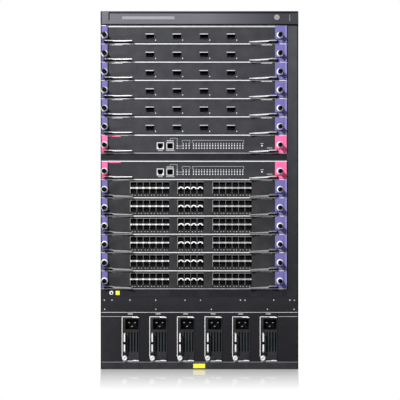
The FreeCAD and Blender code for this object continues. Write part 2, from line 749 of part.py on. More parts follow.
# Two fan trays fill the rear above the shelf, each with a louvred face, rotors and a pull.
# Hub and raked blades in one profile: each blade leans forward from root to tip.
def fan_rotor():
    body = new_body("FanRotor")
    outline = sketch(body, "RotorOutline", "front")
    blades = int(sheet.get("blades"))
    corners = []
    for blade in range(blades):
        for share, radius in ((0, "hubRadius"), (BLADE_LEAD, "fanRadius"), (BLADE_TAIL, "fanRadius"),
                              (BLADE_FOOT, "hubRadius")):
            turn = 2 * math.pi * (blade + share) / blades
            corners.append((f"{radius} * {math.cos(turn):.6f}", f"{radius} * {math.sin(turn):.6f}"))
    polygon(outline, corners)
    pad(outline, "rotorDeep")
    return body


TRAY_BASE = "(cageBase - wall)"
TRAY_HIGH = f"(caseHigh - wall - gap - {TRAY_BASE})"


# The louvred face and the four plates behind it, which leave the rotors room to turn.
def fan_tray(name, left, right):
    body = new_body(name + "_face")
    outline = sketch(body, name + "Outline", "front", f"-{FRONT}")
    rectangle(outline, left, TRAY_BASE, right, f"{TRAY_BASE} + {TRAY_HIGH}")
    pad(outline, "fanTrayWall")
    louvre = sketch(body, name + "Louvre", "front", f"-{FRONT} + fanTrayWall")
    middle = f"({left} + {right}) / 2"
    start = f"{TRAY_BASE} + ({TRAY_HIGH} - (louvres - 1) * louvrePitch - louvreHigh) / 2"
    rectangle(louvre, f"{middle} - louvreWide / 2", start, f"{middle} + louvreWide / 2",
              f"{start} + louvreHigh")
    repeat(pocket(louvre, "fanTrayWall"), "Z_Axis", "louvrePitch", "louvres")
    inside = f"{FRONT} - fanTrayDeep"
    deep = "fanTrayDeep - fanTrayWall"
    wide = f"{right} - {left}"
    high = f"{TRAY_HIGH} - 2 * fanTrayWall"
    return [body,
            box(name + "Floor", left, inside, TRAY_BASE, wide, deep, "fanTrayWall"),
            box(name + "Roof", left, inside, f"{TRAY_BASE} + {TRAY_HIGH} - fanTrayWall", wide, deep,
                "fanTrayWall"),
            box(name + "Left", left, inside, f"{TRAY_BASE} + fanTrayWall", "fanTrayWall", deep, high),
            box(name + "Right", f"{right} - fanTrayWall", inside, f"{TRAY_BASE} + fanTrayWall",
                "fanTrayWall", deep, high)]


def tray_pull(name, x):
    body = new_body(name)
    section = sketch(body, name + "Section", "side", f"{x} - trayPullThick / 2")
    low = f"{TRAY_BASE} + {TRAY_HIGH} / 2 - trayPullHigh / 2"
    high = f"{low} + trayPullHigh"
    out = f"{FRONT} + trayPullProud"
    inside = f"{out} - trayPullThick"
    polygon(section, [(FRONT, low), (out, low), (out, high), (FRONT, high),
                      (FRONT, f"{high} - trayPullThick"), (inside, f"{high} - trayPullThick"),
                      (inside, f"{low} + trayPullThick"), (FRONT, f"{low} + trayPullThick")])
    pad(section, "trayPullThick")
    return body


def fan_trays():
    rotor = fan_rotor()
    sides = [("fan_tray_left", f"({LEFT} + gap)", "(-gap / 2)"),
             ("fan_tray_right", "(gap / 2)", f"({INNER_RIGHT} - gap)")]
    for name, left, right in sides:
        middle = f"({left} + {right}) / 2"
        pieces = fan_tray(name, left, right) + [tray_pull(name + "Pull", middle)]
        for number in range(int(sheet.get("fans"))):
            lift = f"{TRAY_BASE} + {TRAY_HIGH} / 2 + ({number} - (fans - 1) / 2) * fanPitch"
            pieces.append(copy(f"{name}Rotor{number}", rotor, middle,
                               f"{FRONT} - fanTrayWall - gap", lift))
        node(name, pieces)


side_wall("side_wall_left", "-caseWide / 2")
side_wall("side_wall_right", "caseWide / 2 - wall")
top_cover()
base_pan()
rear_panel()
top_bezel()
front_frame()
power_bays()
midplane()
slot_guides()
cards()
power_supplies()
fan_trays()
doc.recompute()

for thing in doc.Objects:
    if "Invalid" in thing.State or "Error" in thing.State:
        raise SystemExit(f"{thing.Label} failed: {thing.State}")
for group in NODES:
    if group.Shape.isNull() or not group.Shape.isValid():
        raise SystemExit(f"{group.Label} has no valid shape")
os.makedirs("parts", exist_ok=True)
for group in NODES:
    Part.Compound(group.Shape.Solids).exportStep(f"parts/{group.Label}.step")
print(len(NODES), "nodes,", sum(len(group.Shape.Solids) for group in NODES), "solids")
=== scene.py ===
import bpy
import bmesh
import json
import math
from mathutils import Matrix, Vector


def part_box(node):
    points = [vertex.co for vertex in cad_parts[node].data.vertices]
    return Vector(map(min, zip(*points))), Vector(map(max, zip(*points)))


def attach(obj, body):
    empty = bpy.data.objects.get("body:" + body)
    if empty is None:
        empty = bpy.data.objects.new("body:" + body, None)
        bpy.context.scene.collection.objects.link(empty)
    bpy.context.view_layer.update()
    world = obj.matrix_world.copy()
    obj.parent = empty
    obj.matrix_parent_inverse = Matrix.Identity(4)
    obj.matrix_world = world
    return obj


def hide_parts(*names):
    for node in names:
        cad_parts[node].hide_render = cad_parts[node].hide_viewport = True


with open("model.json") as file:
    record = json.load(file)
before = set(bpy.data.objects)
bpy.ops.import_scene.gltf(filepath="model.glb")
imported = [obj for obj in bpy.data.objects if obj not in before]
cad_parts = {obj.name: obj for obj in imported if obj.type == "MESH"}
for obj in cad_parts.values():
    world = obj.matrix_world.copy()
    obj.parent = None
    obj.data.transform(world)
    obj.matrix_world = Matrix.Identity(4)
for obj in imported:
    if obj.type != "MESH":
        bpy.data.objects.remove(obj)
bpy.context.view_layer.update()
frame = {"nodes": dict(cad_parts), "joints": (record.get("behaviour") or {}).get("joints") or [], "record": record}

scene = bpy.context.scene
mm = 0.001


def newGroup(name, inputs, outputs):
    group = bpy.data.node_groups.new(name, "ShaderNodeTree")
    for label, kind, value in inputs:
        socket = group.interface.new_socket(label, in_out="INPUT", socket_type=kind)
        socket.default_value = value
    for label, kind in outputs:
        group.interface.new_socket(label, in_out="OUTPUT", socket_type=kind)
    return group, group.nodes.new("NodeGroupInput"), group.nodes.new("NodeGroupOutput")


def mathNode(tree, operation, first, second=None, clamp=False):
    node = tree.nodes.new("ShaderNodeMath")
    node.operation = operation
    node.use_clamp = clamp
    for place, value in enumerate((first, second)):
        if value is None:
            continue
        if isinstance(value, (int, float)):
            node.inputs[place].default_value = value
        else:
            tree.links.new(value, node.inputs[place])
    return node.outputs[0]


def ownCoordinates(tree):
    # object coordinates, moved a little from piece to piece so that no two look alike
    place = tree.nodes.new("ShaderNodeTexCoord")
    info = tree.nodes.new("ShaderNodeObjectInfo")
    shift = tree.nodes.new("ShaderNodeVectorMath")
    shift.operation = "ADD"
    tree.links.new(place.outputs["Object"], shift.inputs[0])
    tree.links.new(info.outputs["Random"], shift.inputs[1])
    return shift.outputs[0]


def makeGrain():
    # fine even texture of powder coat and moulded plastic
    group, given, made = newGroup("fineGrain", [("Scale", "NodeSocketFloat", 900.0)],
                                  [("Mask", "NodeSocketFloat"), ("Height", "NodeSocketFloat")])
    noise = group.nodes.new("ShaderNodeTexNoise")
    noise.inputs["Detail"].default_value = 3.0
    group.links.new(ownCoordinates(group), noise.inputs["Vector"])
    group.links.new(given.outputs["Scale"], noise.inputs["Scale"])
    cloud = group.nodes.new("ShaderNodeTexNoise")
    cloud.inputs["Scale"].default_value = 9.0
    cloud.inputs["Detail"].default_value = 4.0
    group.links.new(ownCoordinates(group), cloud.inputs["Vector"])
    group.links.new(cloud.outputs["Fac"], made.inputs["Mask"])
    group.links.new(noise.outputs["Fac"], made.inputs["Height"])
    return group


def makeBrush():
    # long fine lines of rolled sheet, along X
    group, given, made = newGroup("brushedLines", [("Scale", "NodeSocketFloat", 60.0)],
                                  [("Mask", "NodeSocketFloat"), ("Height", "NodeSocketFloat")])
    stretch = group.nodes.new("ShaderNodeMapping")
    stretch.inputs["Scale"].default_value = (0.6, 24.0, 24.0)
    group.links.new(ownCoordinates(group), stretch.inputs["Vector"])
    noise = group.nodes.new("ShaderNodeTexNoise")
    noise.inputs["Detail"].default_value = 5.0
    group.links.new(stretch.outputs["Vector"], noise.inputs["Vector"])
    group.links.new(given.outputs["Scale"], noise.inputs["Scale"])
    group.links.new(noise.outputs["Fac"], made.inputs["Mask"])
    group.links.new(noise.outputs["Fac"], made.inputs["Height"])
    return group


def makeWear():
    # bright worn edges, from how sharply the surface turns
    group, given, made = newGroup("edgeWear", [("Strength", "NodeSocketFloat", 1.0)],
                                  [("Mask", "NodeSocketFloat")])
    geometry = group.nodes.new("ShaderNodeNewGeometry")
    ramp = group.nodes.new("ShaderNodeMapRange")
    ramp.inputs["From Min"].default_value = 0.52
    ramp.inputs["From Max"].default_value = 0.62
    group.links.new(geometry.outputs["Pointiness"], ramp.inputs["Value"])
    patch = group.nodes.new("ShaderNodeTexNoise")
    patch.inputs["Scale"].default_value = 45.0
    group.links.new(ownCoordinates(group), patch.inputs["Vector"])
    broken = mathNode(group, "MULTIPLY", ramp.outputs["Result"], patch.outputs["Fac"])
    strong = mathNode(group, "MULTIPLY", broken, given.outputs["Strength"], clamp=True)
    group.links.new(strong, made.inputs["Mask"])
    return group


def makeDust():
    # a thin settled film on faces that look up
    group, given, made = newGroup("settledDust", [("Amount", "NodeSocketFloat", 0.2)],
                                  [("Mask", "NodeSocketFloat")])
    geometry = group.nodes.new("ShaderNodeNewGeometry")
    split = group.nodes.new("ShaderNodeSeparateXYZ")
    group.links.new(geometry.outputs["Normal"], split.inputs[0])
    speck = group.nodes.new("ShaderNodeTexNoise")
    speck.inputs["Scale"].default_value = 160.0
    group.links.new(ownCoordinates(group), speck.inputs["Vector"])
    upward = mathNode(group, "MULTIPLY", split.outputs["Z"], speck.outputs["Fac"], clamp=True)
    film = mathNode(group, "MULTIPLY", upward, given.outputs["Amount"], clamp=True)
    group.links.new(film, made.inputs["Mask"])
    return group


grain = makeGrain()
brush = makeBrush()
wear = makeWear()
dust = makeDust()
print("node groups made")


def mixColour(tree, mask, first, second):
    mix = tree.nodes.new("ShaderNodeMix")
    mix.data_type = "RGBA"
    for label, value in (("A", first), ("B", second)):
        socket = next(item for item in mix.inputs if item.name == label and item.type == "RGBA")
        if isinstance(value, tuple):
            socket.default_value = (*value, 1.0)
        else:
            tree.links.new(value, socket)
    tree.links.new(mask, mix.inputs[0])
    return next(item for item in mix.outputs if item.type == "RGBA")


def placeGroup(tree, group, label, value):
    node = tree.nodes.new("ShaderNodeGroup")
    node.node_tree = group
    node.inputs[label].default_value = value
    return node


def newMaterial(name):
    material = bpy.data.materials.new(name)
    material.use_nodes = True
    return material, material.node_tree, material.node_tree.nodes["Principled BSDF"]


def shade(colour, factor):
    return tuple(min(1.0, value * factor) for value in colour)


def roughRange(tree, shader, mask, low, high):
    spread = tree.nodes.new("ShaderNodeMapRange")
    spread.inputs["To Min"].default_value = low
    spread.inputs["To Max"].default_value = high
    tree.links.new(mask, spread.inputs["Value"])
    tree.links.new(spread.outputs["Result"], shader.inputs["Roughness"])


def addBump(tree, shader, height, strength, distance):
    bump = tree.nodes.new("ShaderNodeBump")
    bump.inputs["Strength"].default_value = strength
    bump.inputs["Distance"].default_value = distance
    tree.links.new(height, bump.inputs["Height"])
    tree.links.new(bump.outputs["Normal"], shader.inputs["Normal"])


def paintedLightRamp(tree, colour, fade):
    # painted light: the colour's tone grows lighter or darker along one axis of the whole object, standing in for
    # how light falls across it
    place = tree.nodes.new("ShaderNodeTexCoord")
    split = tree.nodes.new("ShaderNodeSeparateXYZ")
    tree.links.new(place.outputs["Object"], split.inputs[0])
    ramp = tree.nodes.new("ShaderNodeMapRange")
    ramp.inputs["From Min"].default_value = fade["start"]
    ramp.inputs["From Max"].default_value = fade["end"]
    tree.links.new(split.outputs[fade["axis"]], ramp.inputs["Value"])
    tint = mixColour(tree, ramp.outputs["Result"], fade["first"], fade["last"])
    blend = tree.nodes.new("ShaderNodeMix")
    blend.data_type = "RGBA"
    blend.blend_type = "MULTIPLY"
    blend.inputs[0].default_value = 1.0
    colours = [item for item in blend.inputs if item.type == "RGBA"]
    tree.links.new(colour, colours[0])
    tree.links.new(tint, colours[1])
    return next(item for item in blend.outputs if item.type == "RGBA")


clouding = {"shades": (0.88, 1.12), "rough": (-0.06, 0.08), "film": (0.5, 0.49, 0.47), "bump": 0.0002}
brushing = {"shades": (0.82, 1.1), "rough": (-0.08, 0.12), "worn": (0.95, 0.95, 0.96), "bump": 0.25,
            "bumpDeep": 0.0001}


def shadePair(colour, shades):
    return [shade(colour, factor) for factor in shades]


def coated(name, look):
    # paint or plastic: a cloudy colour, a fine grain, worn edges and a little dust, and for some finishes painted
    # light along one axis
    material, tree, shader = newMaterial(name)
    fine = placeGroup(tree, grain, "Scale", look["grain"])
    worn = placeGroup(tree, wear, "Strength", look["wear"])
    film = placeGroup(tree, dust, "Amount", look["dust"])
    cloudy = mixColour(tree, fine.outputs["Mask"], *shadePair(look["colour"], clouding["shades"]))
    edged = mixColour(tree, worn.outputs["Mask"], cloudy, look["edge"])
    dustAndPaintedLight = mixColour(tree, film.outputs["Mask"], edged, clouding["film"])
    # painted light along one axis: a painted sheen on the bezel, painted light from above on the front frame
    if "fade" in look:
        dustAndPaintedLight = paintedLightRamp(tree, dustAndPaintedLight, look["fade"])
    tree.links.new(dustAndPaintedLight, shader.inputs["Base Color"])
    roughRange(tree, shader, fine.outputs["Mask"], *(look["rough"] + step for step in clouding["rough"]))
    addBump(tree, shader, fine.outputs["Height"], look["bump"], clouding["bump"])
    shader.inputs["Specular IOR Level"].default_value = look["specular"]
    return material


def bareMetal(name, look):
    material, tree, shader = newMaterial(name)
    lines = placeGroup(tree, brush, "Scale", look["scale"])
    worn = placeGroup(tree, wear, "Strength", look["wear"])
    base = mixColour(tree, lines.outputs["Mask"], *shadePair(look["colour"], brushing["shades"]))
    edged = mixColour(tree, worn.outputs["Mask"], base, brushing["worn"])
    tree.links.new(edged, shader.inputs["Base Color"])
    roughRange(tree, shader, lines.outputs["Mask"], *(look["rough"] + step for step in brushing["rough"]))
    addBump(tree, shader, lines.outputs["Height"], brushing["bump"], brushing["bumpDeep"])
    shader.inputs["Metallic"].default_value = look["metal"]
    return material


def lampLens(name, look):
    material, tree, shader = newMaterial(name)
    fine = placeGroup(tree, grain, "Scale", look["grain"])
    tint = mixColour(tree, fine.outputs["Mask"], shade(look["colour"], 0.9), look["colour"])
    tree.links.new(tint, shader.inputs["Base Color"])
    shader.inputs["Roughness"].default_value = look["rough"]
    shader.inputs["Coat Weight"].default_value = look["coat"]
    tree.links.new(tint, shader.inputs["Emission Color"])
    shader.inputs["Emission Strength"].default_value = look["glow"]
    return material


paintLook = {"colour": (0.0215, 0.0215, 0.0265), "edge": (0.14, 0.14, 0.16), "grain": 1500.0, "wear": 0.25,
             "dust": 0.03, "rough": 0.5, "bump": 0.2, "specular": 0.13}
# painted sheen: the bezel's colour darkens from the middle towards its right end, standing in for light reflected
# on its left
bezelPaintedSheen = {"axis": "X", "start": 0.01, "end": 0.17, "first": (1.0, 1.0, 1.0), "last": (0.34, 0.34, 0.36)}
# painted light: the front frame's colour lightens towards the top, standing in for light falling from above
stripPaintedLight = {"axis": "Z", "start": 0.2, "end": 0.74, "first": (0.5, 0.5, 0.52), "last": (1.65, 1.72, 1.8)}


def variant(**changes):
    return {**paintLook, **changes}


def plated(*colour, rough=0.36, metal=0.4, wear=0.6):
    return {"colour": colour, "rough": rough, "scale": 60.0, "metal": metal, "wear": wear}


paints = {
    "shellPaint": variant(colour=(0.045, 0.045, 0.05), grain=900.0, rough=0.62, bump=0.35),
    "framePaint": variant(colour=(0.022, 0.023, 0.025), fade=stripPaintedLight),
    "panelPaint": variant(colour=(0.0118, 0.0115, 0.0145)),
    "bezelPaint": variant(colour=(0.122, 0.12, 0.141), rough=0.36, grain=2600.0, wear=0.1, fade=bezelPaintedSheen),
    "bandPaint": variant(colour=(0.0065, 0.0065, 0.0095), specular=0.1),
    # light grey for the bezel's plain fields, and for one narrow painted highlight
    "fieldPaintAndHighlight": variant(colour=(0.26, 0.26, 0.28), wear=0.0),
    "cardPaint": variant(),
    "portCardPaint": variant(colour=(0.0135, 0.0135, 0.0145)),
    "supplyPaint": variant(colour=(0.004, 0.0045, 0.005), specular=0.2),
    "grillePaint": variant(colour=(0.011, 0.015, 0.016)),
    "gripPurple": variant(colour=(0.135, 0.12, 0.33), edge=(0.4, 0.38, 0.65), rough=0.4),
    "gripPink": variant(colour=(1.0, 0.14, 0.36), edge=(0.8, 0.35, 0.45), rough=0.4),
    # lighter copies of the grip colours, painted highlights on the grips' outer ridges
    "gripPurplePaintedHighlight": variant(colour=(0.34, 0.32, 0.68), rough=0.4),
    "gripPinkPaintedHighlight": variant(colour=(0.75, 0.2, 0.32), rough=0.4),
    "blackPlastic": variant(colour=(0.002, 0.002, 0.0025), edge=(0.01, 0.01, 0.01), specular=0.12, dust=0.0),
    # near black for port insides and black plastic; also laid on as painted shade in gaps, slots and holes
    "portDarkAndPaintedShade": variant(colour=(0.002, 0.002, 0.0025), specular=0.08, dust=0.0, wear=0.0),
    "boardGreen": variant(colour=(0.02, 0.09, 0.05), rough=0.35, grain=700.0),
    "guideGrey": variant(colour=(0.05, 0.05, 0.055)),
    "tagYellow": variant(colour=(0.85, 0.8, 0.05), edge=(0.8, 0.76, 0.3), wear=0.1),
    "printWhite": variant(colour=(0.5, 0.51, 0.53), wear=0.0, dust=0.0),
    # faint grey for print, and for the flat dark marks that are painted shade in the levers' slots
    "printFaintAndSlotShade": variant(colour=(0.16, 0.16, 0.17), wear=0.0, dust=0.0),
}
metals = {
    # zinc plating, also used for the painted highlight strips under the blocks of cards
    "zincAndHighlight": plated(0.36, 0.36, 0.38),
    "dullZinc": plated(0.24, 0.24, 0.24, rough=0.5, metal=0.2, wear=0.05),
    # dark steel for studs and cage rims, and for the parts inside the ports, where its darkness is painted shade
    "shadeSteel": plated(0.014, 0.013, 0.012, rough=0.6, metal=0.2, wear=0.0),
    # steel for the jack faces, seams and the rear stud, and for the painted highlight strip below the first card's
    # lip
    "armSteelAndHighlight": plated(0.5, 0.5, 0.5, metal=0.2),
    "dullArm": plated(0.3, 0.3, 0.3, metal=0.2, wear=0.4),
    "collarSteel": plated(0.95, 0.95, 0.96, metal=0.0),
    "brightSteel": plated(0.85, 0.85, 0.86, rough=0.32, metal=0.25),
}
finishes = {name: coated(name, look) for name, look in paints.items()}
finishes.update({name: bareMetal(name, look) for name, look in metals.items()})
finishes["lampWhite"] = lampLens("lampWhite", {"colour": (0.6, 0.62, 0.64), "grain": 500.0, "glow": 0.03,
                                               "rough": 0.3, "coat": 0.4})
print("finishes made:", len(finishes))


def addBlock(mesh, low, high):
    corners = [mesh.verts.new((x, y, z)) for x in (low[0], high[0]) for y in (low[1], high[1])
               for z in (low[2], high[2])]
    for ring in ((0, 1, 3, 2), (4, 6, 7, 5), (0, 4, 5, 1), (2, 3, 7, 6), (0, 2, 6, 4), (1, 5, 7, 3)):
        mesh.faces.new([corners[place] for place in ring])


def addPlate(mesh, outer, holes, front, back):
    # a plate in the XZ plane with square windows: cells between all the edges, left out at the windows
    xs = sorted({outer[0], outer[2], *(hole[0] for hole in holes), *(hole[2] for hole in holes)})
    zs = sorted({outer[1], outer[3], *(hole[1] for hole in holes), *(hole[3] for hole in holes)})

    def filled(column, row):
        if not (0 <= column < len(xs) - 1 and 0 <= row < len(zs) - 1):
            return False
        x = (xs[column] + xs[column + 1]) / 2
        z = (zs[row] + zs[row + 1]) / 2
        return not any(hole[0] < x < hole[2] and hole[1] < z < hole[3] for hole in holes)

    known = {}

    def corner(column, row, y):
        if (column, row, y) not in known:
            known[column, row, y] = mesh.verts.new((xs[column], y, zs[row]))
        return known[column, row, y]

    faces = []
    for column in range(len(xs) - 1):
        for row in range(len(zs) - 1):
            if not filled(column, row):
                continue
            ring = ((column, row), (column + 1, row), (column + 1, row + 1), (column, row + 1))
            faces.append(mesh.faces.new([corner(*place, front) for place in ring]))
            faces.append(mesh.faces.new([corner(*place, back) for place in reversed(ring)]))
            for step, beside in enumerate(((column, row - 1), (column + 1, row), (column, row + 1),
                                           (column - 1, row))):
                if not filled(*beside):
                    first, second = ring[step], ring[(step + 1) % 4]
                    faces.append(mesh.faces.new([corner(*first, back), corner(*second, back),
                                                 corner(*second, front), corner(*first, front)]))
    bmesh.ops.dissolve_limit(mesh, angle_limit=0.01, verts=list({v for f in faces for v in f.verts}),
                             edges=list({e for f in faces for e in f.edges}))


def addProfile(mesh, outline, low, high, axis):
    # pulls a closed outline along an axis: the outline's points lie in the other two axes, in order
    def corner(point, height):
        values = list(point)
        values.insert("xyz".index(axis), height)
        return mesh.verts.new(values)

    first = [corner(point, low) for point in outline]
    second = [corner(point, high) for point in outline]
    mesh.faces.new(first)
    mesh.faces.new(list(reversed(second)))
    for step in range(len(outline)):
        after = (step + 1) % len(outline)
        mesh.faces.new([first[after], first[step], second[step], second[after]])


def addTurned(mesh, centre, steps, sides, flutes=0.0):
    # a turned form about an axis along Y: steps are (radius, y); flutes pulls every other column in
    rings = []
    for radius, y in steps:
        ring = []
        for side in range(sides):
            turn = 2 * math.pi * side / sides
            pulled = radius - (flutes if side % 2 and radius > flutes * 3 else 0.0)
            ring.append(mesh.verts.new((centre[0] + pulled * math.cos(turn), y,
                                        centre[1] + pulled * math.sin(turn))))
        rings.append(ring)
    for ring, after in zip(rings, rings[1:]):
        for side in range(sides):
            beside = (side + 1) % sides
            mesh.faces.new([ring[side], ring[beside], after[beside], after[side]])
    mesh.faces.new(list(reversed(rings[0])))
    mesh.faces.new(rings[-1])


def addRings(mesh, rings):
    # joins rings of corners, each of the same count, and closes both ends
    made = [[mesh.verts.new(corner) for corner in ring] for ring in rings]
    for ring, after in zip(made, made[1:]):
        for step in range(len(ring)):
            beside = (step + 1) % len(ring)
            mesh.faces.new([ring[step], ring[beside], after[beside], after[step]])
    mesh.faces.new(list(reversed(made[0])))
    mesh.faces.new(made[-1])


def addDome(mesh, x, z, y, radius, proud, sides=12):
    addTurned(mesh, (x, z), [(radius, y), (radius, y - proud * 0.5), (radius * 0.7, y - proud * 0.85),
                             (radius * 0.25, y - proud)], sides)


def newMeshes(count):
    return [bmesh.new() for number in range(count)]


def makePiece(name, mesh, body, finish, bevel=0.0, smooth=35.0):
    bmesh.ops.recalc_face_normals(mesh, faces=mesh.faces[:])
    data = bpy.data.meshes.new(name)
    mesh.to_mesh(data)
    mesh.free()
    piece = bpy.data.objects.new(name, data)
    scene.collection.objects.link(piece)
    data.materials.append(finishes[finish])
    if bevel:
        rounding = piece.modifiers.new("edges", "BEVEL")
        rounding.width = bevel
        rounding.segments = 2
        rounding.limit_method = "ANGLE"
        rounding.angle_limit = math.radians(40.0)
        rounding.harden_normals = True
    for face in data.polygons:
        face.use_smooth = True
    data.set_sharp_from_angle(angle=math.radians(smooth))
    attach(piece, body)
    return piece


def makePieces(prefix, body, rows):
    # a row holds a piece's ending, its mesh, its finish and the width of its bevel
    for ending, mesh, finish, bevel in rows:
        makePiece(f"{prefix}_{ending}", mesh, body, finish, bevel)


def dress(node, finish):
    # a frame node keeps its mesh and gets its finish
    materials = frame["nodes"][node].data.materials
    materials.clear()
    materials.append(finishes[finish])


def ringPoints(count, radius, middle=(0.0, 0.0)):
    turns = [2 * math.pi * step / count for step in range(count)]
    return [(middle[0] + radius * math.cos(turn), middle[1] + radius * math.sin(turn)) for turn in turns]


bodyOf = {node: body for body, nodes in frame["record"]["behaviour"]["bodies"].items() for node in nodes}
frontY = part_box("side_wall_left")[0].y
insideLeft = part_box("side_wall_left")[1].x
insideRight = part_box("side_wall_right")[0].x


cardLook = {
    "plate": 2.0 * mm,
    "lipHigh": 2.2 * mm,         # bare spring strip along the top of a face
    "lipBack": 0.5 * mm,
    "flangeDeep": 10.0 * mm,
    "flangeThick": 1.0 * mm,
    "boardHigh": 7.4 * mm,       # top of the circuit board, where the ports stand
    "fingerPitch": 6.4 * mm,
    "fingerGap": 0.7 * mm,
    "fingerBow": 0.5 * mm,       # how far the middle of a spring finger bows out
    "bevel": 0.25 * mm,
}

openings = {}
for opening in frame["record"]["physics"]["openings"]:
    card = opening["name"].rsplit("_", 2)[0]
    openings.setdefault(card, []).append(sum(corner[0] for corner in opening["box_m"]) / 2)


def cardBox(card):
    low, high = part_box(card)
    return {"left": low.x, "right": high.x, "low": low.z, "high": high.z, "back": high.y,
            "painted": high.z - cardLook["lipHigh"], "ports": low.z + cardLook["boardHigh"]}


def pivotOf(lever):
    joint = next(item for item in frame["joints"] if item["name"] == f"{lever}_turn")
    return joint["pos_m"][0], joint["pos_m"][1]


gripLook = {
    "leftWide": 14.0 * mm,
    "leftIn": 0.9 * mm,          # the face's own edge shows beside the left grip
    "rightWide": 26.0 * mm,
    "proud": 4.0 * mm,
    "notchHigh": 8.4 * mm,
    "notchIn": 2.0 * mm,
    "border": 9.0 * mm,          # raised bar of the wide grip, from the card's right edge
    "barWide": 1.1 * mm,
    "leftBar": (1.6 * mm, 0.4 * mm),   # raised bar of the left grip, from its inner edge
    "ridgeWide": 2.0 * mm,       # ridge on the outer side of the wide grip, lighter in colour as a painted highlight
    "ridge": 0.6 * mm,           # how proud the bars and the ridge stand, and their gap to an end
    "flange": 1.0 * mm,
    "bevel": 0.5 * mm,
    "ridgeBevel": 0.3 * mm,
}


def addGripBlock(mesh, box, outer, wide, inward):
    low, top = box["low"], box["painted"]
    inner = outer + inward * wide
    notch = outer + inward * gripLook["notchIn"]
    outline = [(outer, low), (notch, low), (notch, low + gripLook["notchHigh"]),
               (inner, low + gripLook["notchHigh"]), (inner, top), (outer, top)]
    addProfile(mesh, outline, frontY - gripLook["proud"], frontY, "y")


def addGrips(card, box, body, finish):
    mesh, ridgeHighlight = newMeshes(2)
    look = gripLook
    left, right = box["left"], box["right"]
    leftEnd = left + look["leftWide"]
    notchTop = box["low"] + look["notchHigh"]
    front = frontY - look["proud"]
    raised = front - look["ridge"]
    addGripBlock(mesh, box, left + look["leftIn"], look["leftWide"] - look["leftIn"], 1)
    addGripBlock(mesh, box, right, look["rightWide"], -1)
    bottom, top = box["low"] + look["ridge"], box["painted"] - look["ridge"]
    bar = right - look["border"]
    addBlock(mesh, (bar, raised, bottom), (bar + look["barWide"], front, top))
    outer = right - look["ridge"]
    # the outer ridge takes a lighter copy of the grip colour, a painted highlight
    addBlock(ridgeHighlight, (outer - look["ridgeWide"], raised, bottom), (outer, front, top))
    addBlock(mesh, (leftEnd - look["leftBar"][0], raised, notchTop + look["ridge"]),
             (leftEnd - look["leftBar"][1], front, top))
    # a thin flange of the moulding carries on behind each pivot bracket
    flange = frontY - look["flange"]
    addBlock(mesh, (left + look["notchIn"], flange, box["low"]), (leftEnd, frontY, notchTop))
    addBlock(mesh, (right - look["rightWide"], flange, box["low"]),
             (right - look["notchIn"], frontY, notchTop))
    makePiece(f"{card}_grips", mesh, body, finish, look["bevel"])
    makePiece(f"{card}_grip_ridge", ridgeHighlight, body, finish + "PaintedHighlight", look["ridgeBevel"])


knobLook = {
    "insetLeft": 7.2 * mm,
    "insetRight": 15.3 * mm,
    "rise": 17.0 * mm,
    "collarRadius": 7.5 * mm,
    "collarDeep": 5.0 * mm,
    "collarRim": 0.8 * mm,       # straight part of the collar before its cone
    "coneStart": 1.8 * mm,       # short of the collar's tip
    "radius": 5.3 * mm,
    "deep": 15.0 * mm,
    "flutes": 0.35 * mm,
    "cap": 1.0 * mm,             # smooth cap at the end of the fluted grip
    "recess": 1.9 * mm,          # screwdriver recess in the cap
    "recessDeep": 1.6 * mm,
}


def addKnobs(card, box, body):
    collars, knobs = newMeshes(2)
    look = knobLook
    z = box["low"] + look["rise"]
    seat = frontY - gripLook["proud"]
    tip = seat - look["collarDeep"]
    end = tip - look["deep"]
    wide, radius = look["collarRadius"], look["radius"]
    cap = end + look["cap"]
    for x in (box["left"] + look["insetLeft"], box["right"] - look["insetRight"]):
        addTurned(collars, (x, z), [(wide, seat), (wide, seat - look["collarRim"]),
                                    (wide - 0.5 * mm, tip + look["coneStart"]), (radius - 0.3 * mm, tip)], 32)
        addTurned(knobs, (x, z), [(radius - 0.8 * mm, tip), (radius, tip - 0.6 * mm), (radius, cap)],
                  48, look["flutes"])
        addTurned(knobs, (x, z), [(radius - 0.5 * mm, cap), (radius - 0.6 * mm, cap - 0.6 * mm),
                                  (radius - 1.6 * mm, end), (look["recess"], end),
                                  (look["recess"] - 0.2 * mm, end + look["recessDeep"])], 32)
    makePiece(f"{card}_collars", collars, body, "collarSteel")
    makePiece(f"{card}_knobs", knobs, body, "blackPlastic")


bracketLook = {
    "wide": 19.0 * mm,
    "reach": 3.9 * mm,           # outer end, past the lever's axis
    "deep": 9.6 * mm,
    "ear": 1.2 * mm,
    "low": 0.1 * mm,
    "high": 6.7 * mm,
    "corner": 2.0 * mm,
    "taper": 3.0 * mm,
    "pin": 1.5 * mm,
    "pinHigh": 0.7 * mm,
    "pinProud": 0.5 * mm,
    "bevel": 0.2 * mm,
}


def addBrackets(card, box, body, finish):
    mesh, lower = newMeshes(2)
    look = bracketLook
    low, high = box["low"] + look["low"], box["low"] + look["high"]
    tip = frontY - look["deep"]
    corner, taper, pinHigh = look["corner"], look["taper"], look["pinHigh"]
    for side in ("left", "right"):
        pivot = pivotOf(f"{card}_lever_{side}")
        start = pivot[0] - look["reach"] if side == "left" else pivot[0] + look["reach"] - look["wide"]
        end = start + look["wide"]
        outline = [(start, frontY), (end, frontY), (end - taper, tip + corner), (end - 2 * taper, tip),
                   (start + corner, tip), (start, tip + corner)]
        if side == "right":
            outline = [(start + end - x, y) for x, y in reversed(outline)]
        addProfile(lower, outline, low, low + look["ear"], "z")
        addProfile(mesh, outline, high - look["ear"], high, "z")
        addBlock(mesh, (start, frontY - look["ear"], low), (end, frontY, high))
        for z in (low - look["pinProud"], high + look["pinProud"] - pinHigh):
            addProfile(lower, ringPoints(12, look["pin"], pivot), z, z + pinHigh, "z")
    makePiece(f"{card}_brackets", mesh, body, finish, look["bevel"])
    makePiece(f"{card}_lower_ears", lower, body, "blackPlastic", look["bevel"])


